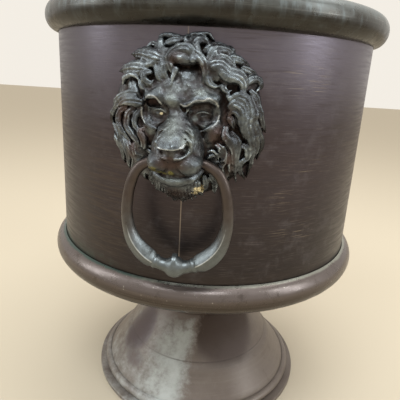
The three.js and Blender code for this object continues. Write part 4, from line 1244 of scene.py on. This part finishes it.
class Nodes:
    """Builds the node tree of a material or the world, a short call for each kind of node."""

    def __init__(self, owner, shader="Principled BSDF", space="Object"):
        self.owner = owner
        owner.use_nodes = True
        self.tree = owner.node_tree
        self.shader = self.tree.nodes[shader]
        self.place = self.add("ShaderNodeTexCoord").outputs[space]

    @classmethod
    def of_material(cls, name):
        return cls(bpy.data.materials.new(name))

    def add(self, kind, **settings):
        node = self.tree.nodes.new(kind)
        for key, value in settings.items():
            setattr(node, key, value)
        return node

    def feed(self, socket, value):
        if isinstance(value, bpy.types.NodeSocket):
            self.tree.links.new(value, socket)
        else:
            socket.default_value = value

    def math(self, operation, *values):
        node = self.add("ShaderNodeMath", operation=operation)
        for socket, value in zip(node.inputs, values):
            self.feed(socket, value)
        return node.outputs[0]

    def times(self, first, second):
        return self.math("MULTIPLY", first, second)

    def times_plus(self, first, second, third):
        return self.math("MULTIPLY_ADD", first, second, third)

    def plus(self, first, second):
        return self.math("ADD", first, second)

    def minus(self, first, second):
        return self.math("SUBTRACT", first, second)

    def larger(self, first, second):
        return self.math("MAXIMUM", first, second)

    def absolute(self, value):
        return self.math("ABSOLUTE", value)

    def parts(self, vector):
        """The x, y and z of a vector."""
        node = self.add("ShaderNodeSeparateXYZ")
        self.feed(node.inputs[0], vector)
        return node.outputs

    def stretched(self, scale):
        """The coordinates scaled differently along each axis."""
        node = self.add("ShaderNodeMapping", vector_type="POINT")
        self.feed(node.inputs["Vector"], self.place)
        node.inputs["Scale"].default_value = scale
        return node.outputs[0]

    def noise(self, scale, detail=4.0, rough=0.55, vector=None, distortion=0.0):
        node = self.add("ShaderNodeTexNoise")
        self.feed(node.inputs["Vector"], self.place if vector is None else vector)
        node.inputs["Scale"].default_value = scale
        node.inputs["Detail"].default_value = detail
        node.inputs["Roughness"].default_value = rough
        node.inputs["Distortion"].default_value = distortion
        return node.outputs["Fac"]

    def ramp(self, value, low, high, start=0.0, end=1.0):
        """A value mapped smoothly from one range to another and held at its ends."""
        node = self.add("ShaderNodeMapRange", interpolation_type="SMOOTHSTEP")
        for socket, number in zip(node.inputs, (value, low, high, start, end)):
            self.feed(socket, number)
        return node.outputs[0]

    def mix(self, share, first, second):
        node = self.add("ShaderNodeMix", data_type="RGBA")
        colours = [c for c in node.inputs if c.type == "RGBA"]
        self.feed(node.inputs[0], share)
        for socket, colour in zip(colours, (first, second)):
            self.feed(socket, colour if isinstance(colour, bpy.types.NodeSocket) else (*colour, 1))
        return [c for c in node.outputs if c.type == "RGBA"][0]

    def layer(self, base, mask, strength, colour):
        """A colour laid over a base where a mask is, at a strength."""
        return self.mix(self.times(mask, strength), base, colour)

    def attribute(self, name):
        return self.add("ShaderNodeAttribute", attribute_name=name).outputs["Fac"]

    def around(self):
        """Arc length round the pot from its front, and height, in metres.

        Aside is kept too, because it has no seam at the back.
        """
        x, y, z = self.parts(self.place)
        angle = self.math("ARCTAN2", x, self.times(y, -1.0))
        self.aside = x
        return self.times(angle, BODY_RADIUS * MM), z

    def vector(self, x, y, z=0.0):
        node = self.add("ShaderNodeCombineXYZ")
        for socket, value in zip(node.inputs, (x, y, z)):
            self.feed(socket, value)
        return node.outputs[0]

    def brushing(self, along, across, detail=2.0):
        """Streaks round the pot: noise with few changes along and many across."""
        return self.noise(1.0, detail, 0.6, self.stretched((along, along, across)))

    def spot(self, arc, height, degrees, z, half_degrees, half_height):
        """One inside an oval on the pot's side and fading to zero beyond it."""
        aside = self.minus(arc, math.radians(degrees) * BODY_RADIUS * MM)
        aside = self.math("DIVIDE", aside, math.radians(half_degrees) * BODY_RADIUS * MM)
        above = self.math("DIVIDE", self.minus(height, z * MM), half_height * MM)
        far = self.plus(self.times(aside, aside), self.times(above, above))
        return self.ramp(far, 1.6, 0.1)

    def bump(self, height, strength, distance=0.001):
        node = self.add("ShaderNodeBump")
        node.inputs["Strength"].default_value = strength
        node.inputs["Distance"].default_value = distance
        self.feed(node.inputs["Height"], height)
        self.feed(self.shader.inputs["Normal"], node.outputs[0])

    def finish(self, colour, metallic, roughness):
        self.feed(self.shader.inputs["Base Color"], colour)
        self.feed(self.shader.inputs["Metallic"], metallic)
        self.feed(self.shader.inputs["Roughness"], roughness)
        return self.owner


def cast_bronze():
    """Dark bronze: brown in the hollows, blue-grey on the swells, paler on the edges from wear and a
    painted highlight, painted near black as shade in crevices and low gaps, with a painted glint in one
    eye.
    """
    n = Nodes.of_material("cast_bronze")
    blotch = n.noise(60, 5, 0.65)
    grain = n.noise(260, 5, 0.68)
    speckle = n.noise(900, 3, 0.6)
    fine = n.attribute("relief_fine")
    height = n.attribute("relief_height")
    jitter = n.minus(n.times_plus(blotch, 0.7, n.times(grain, 0.6)), 0.65)
    hollow = n.ramp(n.plus(n.attribute("relief_broad"), jitter), -1.0, 0.5)
    crevice_shade = n.ramp(n.times_plus(jitter, 0.2, fine), -0.55, 0.02)
    edge = n.ramp(n.times_plus(grain, 0.3, n.times_plus(blotch, 0.35, fine)), 0.38, 0.64)
    brown = n.mix(grain, (0.022, 0.014, 0.012), (0.07, 0.046, 0.04))
    swell = n.mix(n.ramp(blotch, 0.38, 0.62), (0.045, 0.05, 0.056), (0.118, 0.136, 0.147))
    colour = n.mix(hollow, brown, swell)
    colour = n.layer(colour, n.ramp(grain, 0.52, 0.7), 0.45, (0.2, 0.225, 0.225))
    colour = n.layer(colour, n.ramp(grain, 0.47, 0.32), 0.55, (0.03, 0.024, 0.02))
    warm = n.ramp(n.times_plus(grain, 0.5, n.attribute("tint_brown")), 0.45, 1.05)
    colour = n.layer(colour, warm, 0.85, (0.062, 0.037, 0.031))
    # Painted shade: near black in the narrow crevices between locks and features
    colour = n.mix(crevice_shade, (0.012, 0.009, 0.008), colour)
    # Convex edges painted paler in patches: partly wear, partly a painted highlight
    rubbed_and_highlight = n.ramp(n.noise(75, 2, 0.5), 0.44, 0.62, 0.12, 0.8)
    colour = n.layer(colour, edge, rubbed_and_highlight, (0.36, 0.41, 0.435))
    # Pale spots painted on: weathered patina and a painted highlight
    pale = n.ramp(n.times_plus(grain, 0.9, n.attribute("tint_pale_wear_and_highlight")), 0.6, 1.5)
    colour = n.layer(colour, n.times(pale, crevice_shade), 0.75, (0.2, 0.225, 0.215))
    # Painted highlight along the brows, eye rims and nose edge, partly wear
    pale_mark = n.ramp(n.times_plus(grain, 1.6, n.attribute("relief_wear_and_highlight")), 1.0, 1.75)
    colour = n.layer(colour, pale_mark, 0.8, (0.46, 0.48, 0.48))
    # Painted shade: near black where the casting lies low, in the deep gaps of the mane and beside the
    # beard
    low_plate_shade = n.ramp(n.times_plus(grain, 1.5, height), 4.2, 9.5)
    colour = n.mix(low_plate_shade, (0.01, 0.008, 0.007), colour)
    green = n.ramp(n.times_plus(grain, 2.4, n.attribute("tint_green")), 1.5, 1.8)
    green = n.times(green, n.ramp(n.attribute("tint_green"), 0.1, 0.4))
    colour = n.mix(green, colour, (0.16, 0.15, 0.05))
    # Bare brass spots and a painted glint in the left eye
    gold_and_glint = n.ramp(n.times_plus(grain, 2.4, n.attribute("tint_gold_and_glint")), 1.6, 1.9)
    gold_and_glint = n.times(gold_and_glint, n.ramp(n.attribute("tint_gold_and_glint"), 0.1, 0.3))
    colour = n.mix(gold_and_glint, colour, (0.82, 0.74, 0.5))
    n.bump(n.times_plus(speckle, 0.4, grain), 0.6, 0.001)
    return n.finish(colour, 0.75, n.ramp(n.times_plus(grain, 0.4, hollow), 0.3, 1.1, 0.55, 0.26))


def ring_bronze():
    """Brown at the top of the ring, pale grey-green from wear lower down, and paler on its ridges from
    wear and a painted highlight.
    """
    n = Nodes.of_material("ring_bronze")
    distance = n.attribute("relief_wear")
    grain = n.noise(160, 5, 0.65)
    blotch = n.noise(55, 4, 0.6)
    low = n.ramp(n.plus(distance, n.times(blotch, 0.5)), 1.6, 0.7)
    brown = n.mix(grain, (0.05, 0.036, 0.031), (0.1, 0.082, 0.074))
    pale = n.mix(grain, (0.07, 0.08, 0.08), (0.2, 0.225, 0.235))
    colour = n.mix(low, brown, pale)
    # Ridges painted pale: wear and a painted highlight along them
    ridge = n.ramp(n.times_plus(grain, 0.6, n.attribute("relief_ridge_wear_and_highlight")), 0.5, 1.1)
    colour = n.layer(colour, ridge, 0.85, (0.55, 0.59, 0.61))
    n.bump(n.plus(grain, n.noise(700, 3)), 0.25, 0.0006)
    return n.finish(colour, 0.8, n.ramp(grain, 0.3, 0.75, 0.27, 0.42))


def body_patina():
    """Purple-brown patina over brushed sheet, with scratches and a green joint, a painted reflection
    making it lighter and bluer towards the top, and painted shade low down and on the left.
    """
    n = Nodes.of_material("body_patina")
    arc, height = n.around()
    blotch = n.noise(6, 4, 0.55)
    mottle = n.noise(60, 5, 0.65)
    brush = n.brushing(30, 520, 4)
    fine = n.brushing(70, 1500, 3)
    # Painted reflection and shade: lighter and bluer towards the top, darker towards the bottom
    high = n.times_plus(n.minus(blotch, 0.5), 0.12, height)
    base = n.mix(n.ramp(high, 0.19, 0.3), (0.033, 0.027, 0.027), (0.06, 0.047, 0.051))
    base = n.mix(n.ramp(high, 0.3, 0.395), base, (0.13, 0.115, 0.14))
    base = n.layer(base, n.ramp(brush, 0.46, 0.28), 0.35, (0.055, 0.042, 0.04))
    base = n.layer(base, n.ramp(fine, 0.5, 0.75), 0.25, (0.19, 0.165, 0.165))
    base = n.layer(base, n.ramp(mottle, 0.5, 0.72), 0.2, (0.16, 0.148, 0.165))
    # Painted shade: darker on the left side of the pot
    left = n.ramp(n.times_plus(blotch, 0.05, n.aside), 0.02, -0.09, 0.0, 0.4)
    base = n.mix(left, base, (0.035, 0.028, 0.028))
    golden = n.times(n.spot(arc, height, -27, 250, 13, 62), n.ramp(brush, 0.42, 0.6))
    base = n.layer(base, golden, 0.4, (0.085, 0.062, 0.046))
    streak = n.ramp(n.brushing(45, 1300, 4), 0.56, 0.7)
    pale_mark = n.spot(arc, height, 34, 358, 8, 14)
    for place in ((35, 232, 9, 10), (38, 290, 12, 8), (30, 262, 5, 12), (-10, 404, 40, 5)):
        pale_mark = n.larger(pale_mark, n.spot(arc, height, *place))
    base = n.layer(base, n.times(streak, pale_mark), 0.5, (0.3, 0.25, 0.19))
    line = n.ramp(n.absolute(n.plus(arc, 0.0005)), 0.0006, 0.0002)
    line = n.times(line, n.ramp(height, 0.196, 0.2))
    base = n.layer(base, line, 0.75, (0.3, 0.25, 0.21))
    joint = n.ramp(height, 0.202, 0.186)
    green = n.times(joint, n.ramp(n.times_plus(n.aside, -2.6, mottle), 0.6, 0.95))
    base = n.layer(base, joint, 0.45, (0.05, 0.038, 0.032))
    base = n.layer(base, green, 0.6, (0.045, 0.095, 0.08))
    n.bump(n.plus(n.times(brush, 0.5), fine), 0.12, 0.0004)
    roughness = n.ramp(brush, 0.3, 0.7, 0.3, 0.44)
    return n.finish(base, 0.75, roughness)


def pan_patina():
    """The pan inside the pot: dull brown with rings of lime where water has stood."""
    n = Nodes.of_material("pan_patina")
    x, y, _ = n.parts(n.place)
    radius = n.math("SQRT", n.plus(n.times(x, x), n.times(y, y)))
    blotch = n.noise(18, 5, 0.6)
    mottle = n.noise(80, 6, 0.7)
    spun = n.noise(1.0, 3, 0.6, n.vector(n.times(radius, 900), n.times(blotch, 3)))
    base = n.mix(n.ramp(blotch, 0.35, 0.65), (0.07, 0.052, 0.045), (0.12, 0.095, 0.082))
    base = n.layer(base, n.ramp(spun, 0.5, 0.75), 0.3, (0.2, 0.17, 0.15))
    stood = n.times_plus(n.minus(blotch, 0.5), 0.06, radius)
    tide = n.ramp(n.absolute(n.minus(stood, TIDE_RADIUS * MM)), 0.012, 0.001)
    lime = n.times(n.plus(tide, 0.25), n.ramp(mottle, 0.42, 0.66))
    base = n.layer(base, lime, 0.7, (0.34, 0.36, 0.32))
    n.bump(n.times_plus(mottle, 0.6, spun), 0.15, 0.0005)
    return n.finish(base, n.times_plus(lime, -0.5, 0.6), n.ramp(lime, 0, 1, 0.42, 0.75))


def bead_patina():
    """The base bead: smoothed by rubbing, with painted shade on its lower half, and a line where it meets
    the wall, green verdigris on the left and a pale painted highlight on the right.
    """
    n = Nodes.of_material("bead_patina")
    _, height = n.around()
    blotch = n.noise(14, 4, 0.6)
    mottle = n.noise(90, 5, 0.65)
    brush = n.brushing(10, 500, 3)
    base = n.mix(blotch, (0.12, 0.1, 0.096), (0.155, 0.13, 0.12))
    # Painted shade: darker on the lower half of the bead
    base = n.mix(n.ramp(height, 0.181, 0.171), base, (0.06, 0.047, 0.038))
    base = n.layer(base, n.ramp(brush, 0.45, 0.7), 0.35, (0.17, 0.145, 0.13))
    base = n.layer(base, n.ramp(mottle, 0.42, 0.3), 0.5, (0.06, 0.048, 0.04))
    speck = n.ramp(n.noise(420, 1, 0.4), 0.74, 0.79)
    base = n.layer(base, speck, 0.7, (0.42, 0.39, 0.35))
    # Along the top of the bead: green verdigris on the left, a painted highlight on the right
    crust = n.plus(height, n.times(mottle, 0.002))
    edge = n.ramp(crust, 0.1873, 0.1884)
    side = n.ramp(n.times_plus(mottle, 0.1, n.aside), 0.0, 0.06)
    verdigris_and_highlight = n.mix(side, (0.05, 0.1, 0.085), (0.33, 0.34, 0.29))
    base = n.layer(base, edge, 0.75, verdigris_and_highlight)
    n.bump(n.plus(mottle, brush), 0.12, 0.0005)
    return n.finish(base, 0.75, n.ramp(mottle, 0.3, 0.7, 0.24, 0.38))


def rim_patina():
    """Grey-green weathered patina, darker in patches, with fine lines round it, a painted highlight along
    its top on the right and painted shade on its underside.
    """
    n = Nodes.of_material("rim_patina")
    _, height = n.around()
    blotch = n.noise(22, 5, 0.62)
    mottle = n.noise(130, 5, 0.7)
    line = n.brushing(16, 900, 3)
    streak = n.noise(1, 4, 0.62, vector=n.stretched((150, 150, 24)))
    base = n.mix(n.ramp(blotch, 0.3, 0.7), (0.052, 0.049, 0.043), (0.085, 0.088, 0.082))
    base = n.layer(base, n.ramp(mottle, 0.45, 0.7), 0.4, (0.13, 0.14, 0.136))
    base = n.layer(base, n.ramp(streak, 0.5, 0.68), 0.6, (0.16, 0.188, 0.195))
    base = n.layer(base, n.ramp(mottle, 0.44, 0.3), 0.6, (0.04, 0.035, 0.028))
    base = n.layer(base, n.ramp(line, 0.52, 0.72), 0.35, (0.2, 0.2, 0.185))
    high = n.times_plus(blotch, 0.006, height)
    # Painted highlight along the top of the roll on the right
    pale_mark = n.times(n.ramp(high, 0.408, 0.418), n.ramp(n.aside, -0.02, 0.12))
    base = n.layer(base, pale_mark, 0.8, (0.2, 0.225, 0.225))
    # Painted shade on the lower half of the roll
    base = n.layer(base, n.ramp(high, 0.41, 0.402), 0.7, (0.022, 0.018, 0.014))
    n.bump(n.plus(mottle, line), 0.15, 0.0005)
    return n.finish(base, 0.75, n.ramp(mottle, 0.3, 0.7, 0.24, 0.42))


def foot_patina():
    """Brown sheet with a white lime bloom on its front left, and a reddish-brown patch under the bead on
    the right that is painted shadow, partly brown staining.
    """
    n = Nodes.of_material("foot_patina")
    arc, height = n.around()
    blotch = n.noise(16, 5, 0.6)
    mottle = n.noise(75, 6, 0.7)
    brush = n.brushing(18, 600, 3)
    degree = math.radians(1) * BODY_RADIUS * MM
    base = n.mix(n.ramp(blotch, 0.3, 0.7), (0.12, 0.094, 0.08), (0.165, 0.136, 0.117))
    base = n.layer(base, n.ramp(brush, 0.45, 0.7), 0.12, (0.27, 0.235, 0.2))
    base = n.layer(base, n.ramp(mottle, 0.52, 0.72), 0.25, (0.25, 0.22, 0.19))
    base = n.layer(base, n.ramp(mottle, 0.46, 0.32), 0.35, (0.095, 0.072, 0.06))
    purple = n.spot(arc, height, -54, 58, 17, 26)
    purple = n.larger(purple, n.times(n.spot(arc, height, -42, 34, 11, 9), 0.5))
    low = n.ramp(height, 0.04, 0.085)
    lean = n.times(n.times(low, 5.0), degree)
    ragged = n.times_plus(n.noise(170, 5, 0.7), 1.0, n.times_plus(blotch, 1.2, mottle))
    wander = n.times(n.minus(ragged, 1.6), 16 * degree)
    right = n.plus(n.minus(arc, lean), wander)
    lime = n.ramp(right, 6 * degree, -9 * degree)
    lime = n.times(lime, n.ramp(right, -95 * degree, -60 * degree))
    near = n.ramp(right, -40 * degree, -6 * degree, 0.35, 1.0)
    cloud = n.ramp(n.plus(n.times(mottle, 0.6), n.times(near, 0.4)), 0.3, 0.78)
    lime = n.times(n.times(lime, cloud), n.minus(1.0, purple))
    lime = n.times(lime, n.ramp(n.times_plus(mottle, 0.05, height), 0.112, 0.094))
    purple = n.ramp(n.times_plus(mottle, 0.9, purple), 0.5, 1.2)
    base = n.layer(base, purple, 0.9, (0.07, 0.048, 0.052))
    base = n.layer(base, lime, 0.85, (0.52, 0.55, 0.53))
    # Painted shadow under the bead on the right, partly brown staining, darkest near the top
    stain_and_shadow = n.times_plus(blotch, 0.9, n.spot(arc, height, 36, 96, 40, 50))
    stain_and_shadow = n.times(n.ramp(stain_and_shadow, 0.45, 1.15), n.ramp(right, 0, 8 * degree))
    darker_near_bead = n.ramp(n.times_plus(blotch, 0.03, height), 0.07, 0.092)
    base = n.layer(base, stain_and_shadow, 0.85, n.mix(darker_near_bead, (0.07, 0.05, 0.046), (0.03, 0.013, 0.006)))
    groove = n.ramp(n.absolute(n.minus(height, STEP_LINE_Z * MM)), 0.0009, 0.0003)
    base = n.layer(base, groove, n.ramp(mottle, 0.3, 0.7, 0.15, 0.6), (0.05, 0.036, 0.032))
    n.bump(n.plus(n.times(lime, 0.4), n.times(mottle, 0.6)), 0.2, 0.0007)
    dull = n.larger(lime, stain_and_shadow)
    return n.finish(base, n.times_plus(dull, -0.3, 0.3), n.ramp(dull, 0, 1, 0.42, 0.75))


def fixing_steel():
    n = Nodes.of_material("fixing_steel")
    grain = n.noise(600, 4, 0.6)
    colour = n.mix(n.ramp(n.noise(90, 4), 0.35, 0.65), (0.36, 0.36, 0.35), (0.5, 0.5, 0.49))
    colour = n.layer(colour, n.ramp(grain, 0.55, 0.75), 0.4, (0.2, 0.16, 0.13))
    n.bump(grain, 0.1, 0.0003)
    return n.finish(colour, 0.85, n.ramp(grain, 0.3, 0.7, 0.32, 0.5))


def seal_rubber():
    n = Nodes.of_material("seal_rubber")
    grain = n.noise(900, 4, 0.6)
    colour = n.mix(grain, (0.012, 0.012, 0.012), (0.035, 0.034, 0.032))
    n.bump(grain, 0.25, 0.0003)
    return n.finish(colour, 0.0, n.ramp(grain, 0.3, 0.7, 0.75, 0.92))


def set_material(piece, material):
    piece.data.materials.clear()
    piece.data.materials.append(material)


def add_camera():
    ahead = Vector((
        math.sin(CAMERA_YAW) * math.cos(CAMERA_PITCH),
        math.cos(CAMERA_YAW) * math.cos(CAMERA_PITCH),
        -math.sin(CAMERA_PITCH),
    ))
    right = ahead.cross(Vector((0, 0, 1))).normalized()
    up = right.cross(ahead)
    rolled_right = right * math.cos(CAMERA_ROLL) + up * math.sin(CAMERA_ROLL)
    rolled_up = -right * math.sin(CAMERA_ROLL) + up * math.cos(CAMERA_ROLL)
    turn = Matrix.Rotation(CAMERA_AZIMUTH, 3, "Z")
    place = turn @ Vector((0, -CAMERA_DISTANCE * MM, CAMERA_Z * MM))
    facing = Matrix((turn @ rolled_right, turn @ rolled_up, turn @ -ahead)).transposed()
    data = bpy.data.cameras.new("camera")
    data.sensor_width = SENSOR_WIDTH
    data.lens = FOCAL_PIXELS / IMAGE_SIDE * SENSOR_WIDTH
    data.shift_x = -CENTRE_OFFSET_PIXELS[0] / IMAGE_SIDE
    data.shift_y = CENTRE_OFFSET_PIXELS[1] / IMAGE_SIDE
    data.clip_start = 0.01
    camera = add_object("camera", data)
    camera.matrix_world = Matrix.Translation(place) @ facing.to_4x4()
    bpy.context.scene.camera = camera


def add_area(name, place, target, size, power, colour):
    data = bpy.data.lights.new(name, "AREA")
    data.shape = "RECTANGLE"
    data.size, data.size_y = size
    data.energy = power
    data.color = colour
    lamp = add_object(name, data)
    lamp.location = place
    lamp.rotation_euler = (Vector(target) - Vector(place)).to_track_quat("-Z", "Y").to_euler()


def add_stage():
    mesh = bpy.data.meshes.new("floor")
    far = FLOOR_REACH
    mesh.from_pydata([(-far, -far, 0), (far, -far, 0), (far, far, 0), (-far, far, 0)], [], [(0, 1, 2, 3)])
    floor = add_object("floor", mesh)
    pale = Nodes.of_material("floor_pale").finish((*FLOOR_COLOUR, 1.0), 0.0, FLOOR_ROUGHNESS)
    set_material(floor, pale)


def add_world():
    """A soft studio: pale overhead and at the sides, dim in front of the pot.

    Camera rays and reflections meet a plain backdrop instead.
    """
    n = Nodes(bpy.data.worlds.new("world"), "Background", "Generated")
    _, y, z = n.parts(n.place)
    front = n.ramp(y, *WORLD_FRONT_SPAN, WORLD_FRONT, WORLD_SIDE)
    above = n.ramp(z, *WORLD_ABOVE_SPAN, 0.0, WORLD_ABOVE)
    path = n.add("ShaderNodeLightPath").outputs
    seen = n.larger(n.larger(path["Is Camera Ray"], path["Is Glossy Ray"]), path["Is Transmission Ray"])
    shown = n.add("ShaderNodeMix")
    n.feed(shown.inputs[0], seen)
    n.feed(shown.inputs[2], n.plus(front, above))
    n.feed(shown.inputs[3], BACKDROP_STRENGTH)
    n.feed(n.shader.inputs["Strength"], shown.outputs[0])
    n.feed(n.shader.inputs["Color"], BACKDROP_COLOUR)
    bpy.context.scene.world = n.owner


def dress_fixings(nodes):
    """The hidden fixings keep their solids' meshes, with a material."""
    steel = fixing_steel()
    rubber = seal_rubber()
    for name, node in nodes.items():
        if name == "draw_seal":
            set_material(node, rubber)
        elif name.startswith(("draw", "mask_screw", "mask_washer")):
            set_material(node, steel)


def main():
    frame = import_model()
    add_camera()
    add_world()
    add_stage()
    for name, lamp in LAMPS.items():
        add_area(name, *lamp)
    set_material(rim_roll(), rim_patina())
    set_material(base_bead(), bead_patina())
    set_material(body_wall(), body_patina())
    set_material(bottom_pan(), pan_patina())
    foot = foot_patina()
    for piece in (stem_trumpet(), stem_collar(), foot_bell(), foot_bead(), foot_flange()):
        set_material(piece, foot)
    clay = lion_clay()
    bronze = cast_bronze()
    ring = ring_bronze()
    for side in SIDES:
        set_material(lion_mask(clay, side), bronze)
        set_material(hanging_ring(side), ring)
    dress_fixings(frame["nodes"])
    bpy.context.scene.view_settings.view_transform = "Standard"


main()
